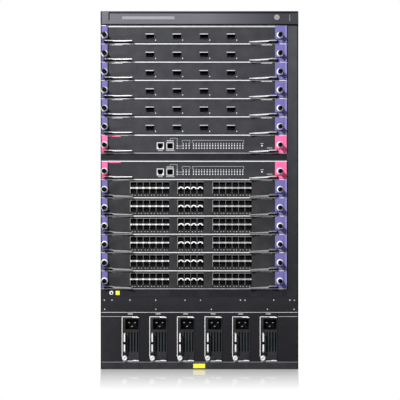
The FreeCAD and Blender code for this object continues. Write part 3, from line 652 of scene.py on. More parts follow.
leverLook = {
    "rise": 1.6 * mm,
    "high": 3.6 * mm,
    "long": 60.0 * mm,
    "root": 17.0 * mm,           # black moulded root, from the axis
    "half": 3.6 * mm,
    "tipHalf": 2.4 * mm,
    "tab": 16.0 * mm,
    "tabFront": 8.4 * mm,
    "tabCorner": 3.0 * mm,
    "slotStart": 4.0 * mm,       # first slot, past the root
    "slotPitch": 4.4 * mm,
    "slotWide": 1.2 * mm,
    "slotHigh": 0.9 * mm,
    "slotRise": 2.0 * mm,
    "seam": 1.6 * mm,            # where the moulded root meets the steel arm above it
    "droop": 2.4 * mm,           # how far an arm bends down towards its tip
    "bend": 0.2,                 # share of that drop taken just past the root
    "elbow": 0.8,                # the same on the port cards, whose arms drop at once and run level
    "bevel": 0.2 * mm,
}


def addLever(card, box, side):
    node = f"{card}_lever_{side}"
    pivotX, pivotY = pivotOf(node)
    inward = 1 if side == "left" else -1
    look = leverLook
    half = look["half"]
    low = box["low"] + look["rise"]
    high = low + look["high"]
    seam = low + look["seam"]
    onPortCard = card.startswith("port")
    droop = 0.0 if side == "left" and not onPortCard else look["droop"]
    elbow = look["elbow"] if onPortCard else look["bend"]
    start = look["long"] - look["tab"]

    def section(reach, front, back, bottom, top):
        x = pivotX + inward * reach
        return [(x, pivotY - front, bottom), (x, pivotY + back, bottom), (x, pivotY + back, top),
                (x, pivotY - front, top)]

    root, arm, armSlotShade = newMeshes(3)
    addRings(root, [section(-half, 0.42 * half, 0.42 * half, low, seam),
                    section(-0.42 * half, half, half, low, seam),
                    section(0.42 * half, half, half, low, seam),
                    section(8.0 * mm, half, half * 0.9, low, seam),
                    section(look["root"], half * 0.8, half * 0.7, low + 0.3 * mm, seam)])
    addRings(arm, [section(-0.3 * half, 0.8 * half, 0.8 * half, seam + 0.9 * mm, high - 0.1 * mm),
                   section(look["root"] - 3.0 * mm, half * 0.8, half * 0.8, seam + 0.7 * mm, high - 0.1 * mm),
                   section(look["root"] + 2.0 * mm, half * 0.75, half * 0.8, seam - 0.6 * mm - droop * elbow,
                           high - 0.1 * mm - droop * elbow * 0.5),
                   section(start, look["tipHalf"], half * 0.7, low + 1.3 * mm - droop,
                           high - 0.3 * mm - droop * max(0.5, elbow)),
                   section(look["long"] - look["tabCorner"], look["tabFront"] - 0.6 * mm, look["tipHalf"],
                           low + 1.4 * mm - droop, high - 0.5 * mm - droop),
                   section(look["long"], look["tabFront"], look["tipHalf"], low + 1.5 * mm - droop,
                           high - 0.9 * mm - droop)])
    # a row of small lightening slots is drawn as flat dark marks along the arm's front: painted shade where the
    # slots' hollows would be
    reach = look["root"] + look["slotStart"]
    pitLow = low + look["slotRise"] - droop * 0.5
    while reach < start - look["tabCorner"]:
        x = pivotX + inward * reach
        addBlock(armSlotShade, (x - look["slotWide"] / 2, pivotY - half * 0.75 - 0.06 * mm, pitLow),
                 (x + look["slotWide"] / 2, pivotY - half * 0.6, pitLow + look["slotHigh"]))
        reach += look["slotPitch"]
    rootPiece = makePiece(f"{node}_root", root, node, "blackPlastic", look["bevel"])
    armPiece = makePiece(f"{node}_arm", arm, node, "dullArm" if onPortCard else "brightSteel",
                         look["bevel"])
    makePiece(f"{node}_slots", armSlotShade, node, "printFaintAndSlotShade")
    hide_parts(node)
    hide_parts(node)


# plain fields where a card carries print: start and end from the left or right edge, drop from the top
printLook = {
    "thick": 0.1 * mm,
    "colourBar": ("left", 16.0 * mm, 43.0 * mm, 0.8 * mm, 2.4 * mm),
    "fields": (("left", 17.0 * mm, 47.0 * mm, 0.5 * mm, 1.9 * mm),
               ("right", -57.0 * mm, -32.0 * mm, 0.5 * mm, 1.9 * mm)),
}


def addPrint(card, box, body, kind):
    mesh = bmesh.new()
    isControl = kind == "control"
    for edge, start, end, above, below in [printLook["colourBar"]] if isControl else printLook["fields"]:
        addBlock(mesh, (box[edge] + start, frontY - printLook["thick"], box["painted"] - below),
                 (box[edge] + end, frontY, box["painted"] - above))
    if isControl:
        makePiece(f"{card}_colour_bar", mesh, body, "gripPink")
    else:
        makePiece(f"{card}_print_fields", mesh, body, "printWhite" if kind == "uplink" else "printFaintAndSlotShade")


def addFace(card, box, body, windows, finish):
    mesh, strip = newMeshes(2)
    look = cardLook
    painted, high = box["painted"], box["high"]
    back = frontY + look["plate"]
    addPlate(mesh, (box["left"], box["low"], box["right"], painted), windows, frontY, back)
    flangeBack = back + look["flangeDeep"]
    addBlock(mesh, (box["left"], back, box["low"]),
             (box["right"], flangeBack, box["low"] + look["flangeThick"]))
    face = makePiece(f"{card}_face", mesh, body, finish, look["bevel"])
    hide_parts(card)
    stripBack = frontY + look["lipBack"] + 0.3 * mm
    bow = stripBack - look["fingerBow"]
    addBlock(strip, (box["left"], stripBack, painted), (box["right"], flangeBack, high))
    outline = [(stripBack, painted + 0.1 * mm), (bow, painted + 0.7 * mm), (bow, high - 0.5 * mm),
               (stripBack, high)]
    x = box["left"] + 0.5 * mm
    while x + look["fingerPitch"] < box["right"]:
        addProfile(strip, outline, x, x + look["fingerPitch"] - look["fingerGap"], "x")
        x += look["fingerPitch"]
    makePiece(f"{card}_spring_strip", strip, body, "brightSteel")


boardLook = {
    "low": 5.0 * mm,
    "leftGap": 2.3 * mm,
    "rightGap": 2.0 * mm,
    "bigChips": (-120.0 * mm, -10.0 * mm, 100.0 * mm),
    "bigChipBack": 190.0 * mm,
    "bigChipHalf": 22.0 * mm,
    "bigChipHigh": 3.0 * mm,
    "sinkHalf": 26.0 * mm,
    "sinkBase": 6.0 * mm,
    "sinkHigh": 20.0 * mm,
    "fins": 14,
    "finPitch": 3.85 * mm,
    "finThick": 1.2 * mm,
    "smallStart": (-160.0 * mm, 90.0 * mm),
    "smallStep": (41.0 * mm, 200.0 * mm),
    "smallCount": (8, 2),
    "smallSize": (16.0 * mm, 11.0 * mm, 1.2 * mm),
}


def addBoard(card, box, body):
    board, sinks, chips = newMeshes(3)
    look = boardLook
    top = box["ports"]
    addBlock(board, (insideLeft + look["leftGap"], frontY + cardLook["plate"], box["low"] + look["low"]),
             (box["right"] - look["rightGap"], box["back"], top))
    y = frontY + look["bigChipBack"]
    chip, sink = look["bigChipHalf"], look["sinkHalf"]
    for x in look["bigChips"]:
        addBlock(chips, (x - chip, y - chip, top), (x + chip, y + chip, top + look["bigChipHigh"]))
        addBlock(sinks, (x - sink, y - sink, top + look["bigChipHigh"]),
                 (x + sink, y + sink, top + look["sinkBase"]))
        for fin in range(look["fins"]):
            start = x - sink + fin * look["finPitch"]
            addBlock(sinks, (start, y - sink, top + look["sinkBase"]),
                     (start + look["finThick"], y + sink, top + look["sinkHigh"]))
    for row in range(look["smallCount"][1]):
        for column in range(look["smallCount"][0]):
            x = look["smallStart"][0] + column * look["smallStep"][0]
            y = frontY + look["smallStart"][1] + row * look["smallStep"][1]
            wide, deep, high = look["smallSize"]
            addBlock(chips, (x, y, top), (x + wide, y + deep, top + high))
    makePieces(card, body, (("board", board, "boardGreen", 0), ("chips", chips, "blackPlastic", 0),
                            ("heat_sinks", sinks, "zincAndHighlight", 0)))


uplinkLook = {
    "wall": 0.9 * mm,
    "half": 9.3 * mm,
    "high": 11.0 * mm,
    "proud": 0.5 * mm,
    "floor": 0.9 * mm,
    "deep": 48.0 * mm,
    "lipHigh": 1.8 * mm,
    "rim": 0.5 * mm,
    "fingers": 5,
    "fingerPitch": 3.72 * mm,
    "fingerWide": 2.6 * mm,
    "lampIn": 12.2 * mm,
    "lampRise": 6.6 * mm,
    "lampRadius": 1.3 * mm,
    "lampProud": 0.6 * mm,
}


def addUplinks(card, box, body):
    shells, insides, lips, lamps, rims, tongues = newMeshes(6)
    look = uplinkLook
    wall, half = look["wall"], look["half"]
    front = frontY - look["proud"]
    low = box["ports"] + look["floor"]
    top = low + look["high"]
    windows = []
    for x in openings[card]:
        left, right = x - half, x + half
        mouth = (left, low, right, top)
        windows.append((left - wall, box["ports"], right + wall, top + wall))
        addPlate(shells, windows[-1], [mouth], front, front + look["deep"])
        addBlock(insides, (left, front + look["deep"] - 1.0 * mm, low), (right, front + look["deep"], top))
        addBlock(lips, (left - wall, front - 0.5 * mm, top - 0.2 * mm),
                 (right + wall - 1.5 * mm, front, top + look["lipHigh"]))
        rim = wall + look["rim"]
        addPlate(rims, (left - rim, low - wall - 0.3 * mm, right + rim, top + wall), [mouth],
                 front - 0.15 * mm, front + 0.3 * mm)
        # the board's card-edge socket and the cage's side springs show inside, darkened as painted shade of the
        # port's depth
        addBlock(tongues, (left + 2.0 * mm, front + 16.0 * mm, low + 3.4 * mm),
                 (right - 2.0 * mm, front + 40.0 * mm, low + 7.4 * mm))
        for edge in (left + 0.3 * mm, right - 1.3 * mm):
            addBlock(tongues, (edge, front + 2.0 * mm, low + 2.0 * mm),
                     (edge + 1.0 * mm, front + 12.0 * mm, low + 5.0 * mm))
        outline = [(front + 1.0 * mm, low + 0.1 * mm), (front - 0.3 * mm, low + 0.9 * mm),
                   (front + 6.0 * mm, low + 0.4 * mm), (front + 6.0 * mm, low + 0.1 * mm)]
        for finger in range(look["fingers"]):
            start = left + (finger + 0.15) * look["fingerPitch"]
            addProfile(lips, outline, start, start + look["fingerWide"], "x")
        addDome(lamps, x + look["lampIn"], box["low"] + look["lampRise"], frontY, look["lampRadius"],
                look["lampProud"])
    makePieces(card, body, (("cages", shells, "portDarkAndPaintedShade", 0.15 * mm),
                            ("cage_backs", insides, "portDarkAndPaintedShade", 0),
                            ("cage_lips", lips, "zincAndHighlight", 0.1 * mm),
                            ("cage_rims", rims, "shadeSteel", 0),
                            ("cage_tongues", tongues, "shadeSteel", 0),
                            ("lamps", lamps, "lampWhite", 0)))
    return windows


bankLook = {
    "middles": (-110.9 * mm, -19.8 * mm, 72.6 * mm),
    "columns": (6, 4, 6),
    "archBank": 1,               # its spring arches over each port, the others have flat springs
    "dullBank": 2,
    "pitch": 14.25 * mm,
    "wide": 13.35 * mm,
    "high": 9.1 * mm,
    "band": 5.6 * mm,            # spring band between the two rows
    "wall": 0.9 * mm,
    "top": 1.7 * mm,
    "deep": 48.0 * mm,
    "proud": 0.5 * mm,
    "lamps": (0.27, 0.73),       # places of the lamps, as shares of a port's width
    "lampRise": 4.0 * mm,
    "lampRadius": 0.85 * mm,
    "lampProud": 0.5 * mm,
    "springRise": 0.9 * mm,
    "springHigh": 3.7 * mm,
    "archSteps": 9,
    "archDrop": 0.4 * mm,
    "archHigh": 5.2 * mm,
    "archInner": 2.9 * mm,
    "bulgeHalf": 3.2 * mm,
    "bulgeCorner": 1.0 * mm,
}


def addArch(mesh, left, low, front):
    look = bankLook
    foot = low - look["archDrop"]
    outer, inner = [], []
    for step in range(look["archSteps"]):
        turn = math.pi * step / (look["archSteps"] - 1)
        side = 0.5 - 0.5 * math.cos(turn)
        outer.append((left + look["wide"] * side, foot + look["archHigh"] * math.sin(turn)))
        inner.append((left + look["wide"] * (0.25 + 0.5 * side), foot + look["archInner"] * math.sin(turn)))
    addProfile(mesh, outer + inner[::-1], front - 0.8 * mm, front + 0.2 * mm, "y")


def addBulge(mesh, centre, outer, low, front):
    # a rounded bulge straddles each wall between the ports
    start = max(centre - bankLook["bulgeHalf"], outer[0])
    end = min(centre + bankLook["bulgeHalf"], outer[2])
    corner = bankLook["bulgeCorner"]
    outline = [(start, low + 1.2 * mm), (start + corner, low + 0.2 * mm), (end - corner, low + 0.2 * mm),
               (end, low + 1.2 * mm), (end, low + 2.4 * mm), (end - corner, low + 3.4 * mm),
               (start + corner, low + 3.4 * mm), (start, low + 2.4 * mm)]
    addProfile(mesh, outline, front - 1.0 * mm, front, "y")


def addPortInside(mesh, left, z, front):
    # the contact block and the two halves of the shielding spring, darkened as painted shade inside the port
    wide = bankLook["wide"]
    addBlock(mesh, (left + 1.6 * mm, front + 10.0 * mm, z + 2.6 * mm),
             (left + wide - 1.6 * mm, front + 30.0 * mm, z + 5.6 * mm))
    for start, end in ((0.8 * mm, wide * 0.42), (wide * 0.58, wide - 0.8 * mm)):
        addBlock(mesh, (left + start, front + 2.0 * mm, z + 0.3 * mm),
                 (left + end, front + 6.0 * mm, z + 1.1 * mm))


def addBanks(card, box, body):
    shells, backs, springs, lamps, bulges, tongues, dull = newMeshes(7)
    look = bankLook
    front = frontY - look["proud"]
    back = front + look["deep"]
    bottom = box["ports"]
    lower = bottom + look["wall"]
    upper = lower + look["high"] + look["band"]
    top = upper + look["high"] + look["top"]
    bandLow = lower + look["high"] + look["springRise"]
    windows = []
    for number, (middle, columns) in enumerate(zip(look["middles"], look["columns"])):
        bright = dull if number == look["dullBank"] else bulges
        half = columns * look["pitch"] / 2 + look["wall"] / 2
        outer = (middle - half, bottom, middle + half, top)
        windows.append(outer)
        holes = []
        for column in range(columns):
            left = outer[0] + look["wall"] + column * look["pitch"]
            right = left + look["wide"]
            for z in (lower, upper):
                holes.append((left, z, right, z + look["high"]))
                addPortInside(tongues, left, z, front)
            for place in look["lamps"]:
                addDome(lamps, left + look["wide"] * place, box["low"] + look["lampRise"], frontY,
                        look["lampRadius"], look["lampProud"], 8)
            if number == look["archBank"]:
                addArch(bulges, left, bandLow, front)
                continue
            addBlock(springs, (left + 0.6 * mm, front - 0.2 * mm, bandLow),
                     (right - 0.6 * mm, front + 0.3 * mm, bandLow + look["springHigh"]))
            addBlock(bright, (left + look["wide"] * 0.34, front - 0.6 * mm, bandLow + 1.4 * mm),
                     (left + look["wide"] * 0.7, front, bandLow + 2.4 * mm))
            addBulge(bright, left - look["wall"] / 2, outer, bandLow, front)
        if number != look["archBank"]:
            addBulge(bright, right + look["wall"] / 2, outer, bandLow, front)
        addPlate(shells, outer, holes, front, back)
        addBlock(backs, (outer[0] + 0.2 * mm, back - 1.0 * mm, bottom + 0.2 * mm),
                 (outer[2] - 0.2 * mm, back, top - 0.2 * mm))
        # bare edges of the cage along its top and left, and at each wall
        addBlock(springs, (outer[0] - 0.4 * mm, front - 0.3 * mm, top - 0.5 * mm),
                 (outer[2] + 0.4 * mm, front + 0.4 * mm, top + 0.4 * mm))
        addBlock(springs, (outer[0] - 0.5 * mm, front - 0.3 * mm, bottom),
                 (outer[0] + 0.4 * mm, front + 0.4 * mm, top - 0.5 * mm))
        for column in range(1, columns):
            x = outer[0] + look["wall"] / 2 + column * look["pitch"]
            addBlock(springs, (x - 0.3 * mm, front - 0.15 * mm, bottom + 0.3 * mm),
                     (x + 0.3 * mm, front + 0.2 * mm, top - 0.6 * mm))
    makePieces(card, body, (("cages", shells, "portDarkAndPaintedShade", 0),
                            ("cage_backs", backs, "portDarkAndPaintedShade", 0),
                            ("cage_springs", springs, "dullZinc", 0),
                            ("cage_bulges", bulges, "brightSteel", 0),
                            ("cage_bulges_right", dull, "zincAndHighlight", 0),
                            ("cage_tongues", tongues, "shadeSteel", 0),
                            ("lamps", lamps, "lampWhite", 0)))
    return windows


jackLook = {
    "wide": 15.8 * mm,
    "high": 15.2 * mm,
    "deep": 14.0 * mm,
    "keyWide": 8.6 * mm,
    "keyHigh": 3.6 * mm,
    "mouthWide": 12.4 * mm,
    "mouthHigh": 8.2 * mm,
    "floor": 1.8 * mm,
    "rim": 1.3 * mm,
    "proud": 0.5 * mm,
    "contacts": 8,
    "contactStart": 4.2 * mm,
    "contactPitch": 1.1 * mm,
}
# print and lamps of a control card, in millimetres: left, low, right and high from a jack or the button
panelLook = {
    "thick": 0.12 * mm,
    "firstJack": ((-5.0, 3.8, 5.0, 5.0),),
    "secondJack": ((-9.0, 4.0, 10.0, 5.2), (-7.5, 25.2, 8.0, 27.0), (0.0, 31.6, 16.3, 32.2),
                   (15.7, 17.0, 16.3, 32.2), (0.0, 28.6, 0.6, 32.2)),
    "button": ((-3.5, 19.8, 3.5, 20.8), (11.0, 9.6, 23.0, 10.8)),
    "buttonIn": 55.0 * mm,
    "buttonRise": 15.4 * mm,
    "buttonRadius": 2.0 * mm,
    "buttonProud": 0.9 * mm,
    "lampGroups": ((16.0, 1, 6.4), (29.2, 3, 6.6), (52.2, 19, 6.1)),   # start, columns and pitch
    "lampRises": (9.7 * mm, 15.5 * mm),
    "lampRadius": 1.5 * mm,
    "lampProud": 0.4 * mm,
}


def addPanel(card, box, body, firstJack, secondJack):
    prints, lamps = newMeshes(2)
    look = panelLook
    button = box["right"] - look["buttonIn"]

    def addBars(anchor, bars):
        for left, low, right, high in bars:
            addBlock(prints, (anchor + left * mm, frontY - look["thick"], box["low"] + low * mm),
                     (anchor + right * mm, frontY, box["low"] + high * mm))

    addBars(firstJack, look["firstJack"])
    addBars(secondJack, look["secondJack"])
    addBars(button, look["button"])
    for start, columns, pitch in look["lampGroups"]:
        end = start + (columns - 1) * pitch
        if columns > 1:
            addBars(secondJack, ((start - 2.4, 27.0, end + 2.4, 27.6), (start - 2.4, 22.0, start - 1.8, 27.6),
                                 (end + 1.8, 22.0, end + 2.4, 27.6)))
        else:
            addBars(secondJack, ((start, 14.4, start + 11.0, 15.0), (start, 9.4, start + 11.0, 10.0)))
        for column in range(columns):
            place = start + column * pitch
            for rise in look["lampRises"]:
                addDome(lamps, secondJack + place * mm, box["low"] + rise, frontY, look["lampRadius"],
                        look["lampProud"], 8)
            addBars(secondJack, ((place - 0.9, 18.6, place + 0.9, 21.2),
                                 (place - 0.35, 9.7, place + 0.35, 20.0)))
    addDome(lamps, button, box["low"] + look["buttonRise"], frontY, look["buttonRadius"],
            look["buttonProud"], 16)
    makePieces(card, body, (("print", prints, "printWhite", 0), ("lamps", lamps, "lampWhite", 0)))


def inset(window, gap):
    return window[0] + gap, window[1] + gap, window[2] - gap, window[3] - gap


def addJacks(card, box, body):
    rims, inners, insides = newMeshes(3)
    look = jackLook
    front = frontY - look["proud"]
    back = front + look["deep"]
    bottom = box["ports"]
    keyLow = bottom + look["floor"]
    low = keyLow + look["keyHigh"]
    top = low + look["mouthHigh"]
    half, key = look["mouthWide"] / 2, look["keyWide"] / 2
    jacks = sorted(openings[card])
    windows = []
    for x in jacks:
        outer = (x - look["wide"] / 2, bottom, x + look["wide"] / 2, bottom + look["high"])
        windows.append(outer)
        holes = [(x - half, low, x + half, top), (x - key, keyLow, x + key, low)]
        face, tube = inset(outer, look["rim"]), inset(outer, 0.1 * mm)
        addPlate(rims, outer, [face], front, front + 1.0 * mm)
        addPlate(inners if x == jacks[0] else insides, face, holes, front + 0.4 * mm, front + 1.2 * mm)
        addPlate(insides, tube, holes, front + 1.2 * mm, back)
        addBlock(insides, (tube[0], back, tube[1]), (tube[2], back + 0.9 * mm, tube[3]))
        for contact in range(look["contacts"]):
            start = x - look["contactStart"] + contact * look["contactPitch"]
            addBlock(inners, (start, front + 6.0 * mm, top - 0.9 * mm),
                     (start + 0.4 * mm, front + 12.0 * mm, top - 0.4 * mm))
    makePieces(card, body, (("jack_rims", rims, "brightSteel", 0.15 * mm),
                            ("jack_faces", inners, "armSteelAndHighlight", 0.1 * mm),
                            ("jack_insides", insides, "portDarkAndPaintedShade", 0)))
    addPanel(card, box, body, *jacks)
    return windows


portMaker = {"uplink": addUplinks, "port": addBanks, "control": addJacks}
cards = sorted(node for node in frame["nodes"] if "_card_" in node and "lever" not in node)
for card in cards:
    kind = card.split("_")[0]
    body = bodyOf[card]
    box = cardBox(card)
    gripFinish = "gripPink" if kind == "control" else "gripPurple"
    windows = portMaker[kind](card, box, body)
    addFace(card, box, body, windows, "portCardPaint" if kind == "port" else "cardPaint")
    addGrips(card, box, body, gripFinish)
    addKnobs(card, box, body)
    addBrackets(card, box, body, gripFinish)
    addBoard(card, box, body)
    addPrint(card, box, body, kind)
    for side in ("left", "right"):
        addLever(card, box, side)
print("cards made:", len(cards))


supplyLook = {
    "proud": 1.5 * mm,
    "plate": 3.0 * mm,
    "flange": 1.6 * mm,
    "flangeProud": 1.0 * mm,
    "inletWide": 30.0 * mm,
    "inletHigh": 23.5 * mm,
    "inletDrop": 5.6 * mm,
    "inletMiddle": 3.0 * mm,     # the inlet and the vents sit right of the middle
    "inletDeep": 17.0 * mm,
    "inletLiner": 1.2 * mm,
    "vents": 5,
    "ventPitch": 6.4 * mm,
    "ventWide": 3.2 * mm,
    "ventHigh": 44.0 * mm,
    "marks": 3,
    "markIn": 7.0 * mm,
    "markPitch": 6.5 * mm,
    "markWide": 3.2 * mm,
    "pins": ((-6.7 * mm, 6.0 * mm), (6.7 * mm, 6.0 * mm), (0.0, 14.5 * mm)),   # across and down the inlet
    "pinWide": 3.6 * mm,
    "pinHigh": 1.6 * mm,
    "pullRise": 21.7 * mm,
    "pullHigh": 42.0 * mm,
    "pullProud": 17.0 * mm,
    "pullIn": 5.3 * mm,
    "pullWide": 3.3 * mm,
    "pullBand": 2.8 * mm,        # half the width of the dark band round the pull, a painted shadow across its middle
    "screwIn": 6.6 * mm,
    "screwRise": 8.0 * mm,
    "screwRadius": 5.6 * mm,
    "screwDeep": 7.0 * mm,
    "screwFlutes": 0.2 * mm,
    "screwTurn": 40.0,           # degrees the screw's slot lies round
    "screwSlot": (3.6 * mm, 0.6 * mm),
}


def addPull(mesh, dark, low, face):
    # a strap bent forward to a bar, with a dark band at its middle as a painted shadow across the bar
    look = supplyLook
    x, wide = low.x + look["pullIn"], look["pullWide"]
    bottom = low.z + look["pullRise"]
    top = bottom + look["pullHigh"]
    reach = face - look["pullProud"]
    outer = [(face, bottom), (reach + 3.0 * mm, bottom), (reach, bottom + 3.0 * mm), (reach, top - 3.0 * mm),
             (reach + 3.0 * mm, top), (face, top)]
    inner = [(face, top - wide), (reach + 4.0 * mm, top - wide), (reach + wide, top - 5.0 * mm),
             (reach + wide, bottom + 5.0 * mm), (reach + 4.0 * mm, bottom + wide), (face, bottom + wide)]
    addProfile(mesh, outer + inner, x, x + wide, "x")
    middle = (bottom + top) / 2
    addBlock(dark, (x - 0.5 * mm, reach - 0.5 * mm, middle - look["pullBand"]),
             (x + wide + 0.5 * mm, reach + wide + 0.5 * mm, middle + look["pullBand"]))


def addSupplyScrew(screw, screwSlotShade, low, face):
    # captive screw: waisted neck, knurled head, and a dark bar across it as painted shade of its slot
    look = supplyLook
    x, z = low.x + look["screwIn"], low.z + look["screwRise"]
    end = face - look["screwDeep"]
    radius = look["screwRadius"]
    neck = radius - 1.2 * mm
    addTurned(screw, (x, z), [(neck, face), (neck, face - 2.0 * mm), (radius, face - 2.4 * mm),
                              (radius, end + 0.8 * mm), (radius - 0.8 * mm, end)], 36, look["screwFlutes"])
    turn = math.radians(look["screwTurn"])
    across, up = math.cos(turn), math.sin(turn)
    long, thin = look["screwSlot"]
    outline = [(x + across * a - up * b, z + up * a + across * b)
               for a, b in ((-long, -thin), (long, -thin), (long, thin), (-long, thin))]
    addProfile(screwSlotShade, outline, end - 0.05 * mm, end + 0.3 * mm, "y")


def addSupply(node):
    body = bodyOf[node]
    low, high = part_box(node)
    look = supplyLook
    mesh, ribs, edges, dark, screw, screwSlotShade, pins = newMeshes(7)
    middle = (low.x + high.x) / 2 + look["inletMiddle"]
    face = frontY - look["proud"]
    inletTop = high.z - look["inletDrop"]
    inlet = (middle - look["inletWide"] / 2, inletTop - look["inletHigh"],
             middle + look["inletWide"] / 2, inletTop)
    ventTop = inlet[1] - look["inletDrop"]
    half = look["ventWide"] / 2
    slots = []
    for vent in range(look["vents"]):
        x = middle + (vent - (look["vents"] - 1) / 2) * look["ventPitch"]
        slots.append((x - half, ventTop - look["ventHigh"], x + half, ventTop))
    grille = (slots[0][0] - look["ventWide"], slots[0][1] - 1.5 * mm, slots[-1][2] + look["ventWide"] * 0.6,
              ventTop + 1.5 * mm)
    outer = (low.x, low.z, high.x, high.z)
    inletBack = face + look["inletDeep"]
    addPlate(mesh, outer, [inlet] + slots, face, face + look["plate"])
    addPlate(mesh, outer, [inlet], face + look["plate"], inletBack)
    addBlock(mesh, (low.x, inletBack, low.z), (high.x, high.y, high.z))
    case = makePiece(f"{node}_case", mesh, body, "supplyPaint", 0.25 * mm)
    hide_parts(node)
    # ribs between the vents stand a little proud, and a lip frames the inlet
    addPlate(ribs, grille, slots, face - 0.5 * mm, face)
    addPlate(ribs, (inlet[0] - 1.0 * mm, inlet[1] - 2.2 * mm, inlet[2] + 1.0 * mm, inlet[1] - 0.2 * mm), [],
             face - 0.8 * mm, face)
    for mark in range(look["marks"]):
        x = grille[0] + look["markIn"] + mark * look["markPitch"]
        addPlate(ribs, (x, grille[1] - 8.0 * mm, x + look["markWide"], grille[1] - 4.0 * mm), [],
                 face - 0.4 * mm, face)
    thick = look["flange"]
    out = face - look["flangeProud"]
    addBlock(edges, (low.x, out, low.z + 10.0 * mm), (low.x + thick, face, high.z - 0.3 * mm))
    addBlock(edges, (low.x, out, high.z - thick), (high.x - 4.0 * mm, face, high.z))
    addBlock(edges, (low.x + 3.0 * mm, out, low.z), (high.x - 4.0 * mm, face, low.z + thick))
    # spring tabs bow out of the right half of the top and bottom edges
    for z in (high.z - thick - 1.6 * mm, low.z + 0.2 * mm):
        outline = [(high.x - 17.0 * mm, z + 0.4 * mm), (high.x - 12.0 * mm, z + 3.0 * mm),
                   (high.x - 4.0 * mm, z + 2.6 * mm), (high.x - 0.4 * mm, z + 1.2 * mm),
                   (high.x - 1.0 * mm, z - 0.2 * mm), (high.x - 9.0 * mm, z + 0.4 * mm)]
        addProfile(edges, outline, out - 0.8 * mm, face, "y")
    addPull(edges, dark, low, face)
    addSupplyScrew(screw, screwSlotShade, low, face)
    addPlate(dark, inset(inlet, -0.1 * mm), [inset(inlet, look["inletLiner"])], face + 0.8 * mm,
             inletBack - 0.4 * mm)
    addBlock(dark, (inlet[0], inletBack - 0.5 * mm, inlet[1]), (inlet[2], inletBack + 0.1 * mm, inlet[3]))
    # painted shade: a dark sheet at the floor of each vent slot
    for vent in slots:
        addBlock(dark, (vent[0], face + look["plate"] - 0.1 * mm, vent[1]),
                 (vent[2], face + look["plate"] + 0.1 * mm, vent[3]))
    for across, down in look["pins"]:
        x, z = middle + across, inletTop - down - 3.0 * mm
        addBlock(pins, (x - look["pinWide"] / 2, face + 5.0 * mm, z - look["pinHigh"] / 2),
                 (x + look["pinWide"] / 2, face + 16.9 * mm, z + look["pinHigh"] / 2))
    makePieces(node, body, (("grille", ribs, "grillePaint", 0.15 * mm),
                            ("edges", edges, "brightSteel", 0.4 * mm),
                            ("liner", dark, "portDarkAndPaintedShade", 0.1 * mm),
                            ("screw", screw, "brightSteel", 0),
                            ("screw_slot", screwSlotShade, "portDarkAndPaintedShade", 0),
                            ("pins", pins, "dullZinc", 0.3 * mm)))


supplies = sorted(node for node in frame["nodes"] if node.startswith("power_supply"))
for node in supplies:
    addSupply(node)
print("power supplies made:", len(supplies))


chassisFinishes = {
    "shellPaint": ("side_wall_left", "side_wall_right", "top_cover", "rear_panel", "fan_tray_left",
                   "fan_tray_right"),
    "panelPaint": ("base_pan", "power_bays"),
    "framePaint": ("front_frame",),
    "bezelPaint": ("top_bezel",),
    "boardGreen": ("midplane",),
    "guideGrey": ("slot_guides",),
}
for finish, nodes in chassisFinishes.items():
    for node in nodes:
        dress(node, finish)
print("chassis nodes dressed")


edgeLook = {
    "sillTop": 16.0 * mm,
    "sillLine": 1.1 * mm,
    "sillProud": 0.5 * mm,
    "highlightIn": 16.0 * mm,       # bright strip below the first card's spring strip, a painted highlight where the bezel's shadow falls on the real lip
    "highlightDrop": (4.6 * mm, 2.4 * mm),
    "highlightProud": 0.3 * mm,
    "bevel": 0.1 * mm,
}


def addBareEdges():
    sill, lipHighlight = newMeshes(2)
    look = edgeLook
    z, half = look["sillTop"], look["sillLine"] / 2
    addBlock(sill, (insideLeft, frontY - look["sillProud"], z - half), (insideRight, frontY, z + half))
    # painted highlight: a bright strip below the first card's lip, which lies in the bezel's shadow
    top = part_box("uplink_card_1")[1]
    down, short = look["highlightDrop"]
    addBlock(lipHighlight, (insideLeft + look["highlightIn"], frontY - look["highlightProud"], top.z - down),
             (top.x - gripLook["rightWide"], frontY, top.z - short))
    makePiece("sill_seam", sill, "chassis", "dullZinc", look["bevel"])
    makePiece("uplink_card_1_spring_edge", lipHighlight, bodyOf["uplink_card_1"], "armSteelAndHighlight", look["bevel"])


bezelLook = {
    "fields": (((-172.0 * mm, 778.0 * mm), (-55.0 * mm, 785.0 * mm)),
               # the narrow second field is a painted highlight on the right edge of the bezel's sunk field
               ((200.0 * mm, 774.5 * mm), (201.2 * mm, 789.0 * mm))),
    "roundField": (172.0 * mm, 783.0 * mm),
    "roundRadius": 6.2 * mm,
    "proud": 0.1 * mm,
    "gapIn": 9.0 * mm,           # where the painted shade filling the gap under the bezel starts
    "grooveDrop": 2.2 * mm,
    "grooveWide": 2.4 * mm,
    "grooveHigh": 17.0 * mm,
    "grooveDeep": 1.4 * mm,
    "grooveLeft": -201.8 * mm,
    "grooveRight": 217.5 * mm,
    "sideWide": 1.2 * mm,        # upright groove's painted shade, and the painted shade line beside the right-hand strip
    "endWide": 2.6 * mm,
}


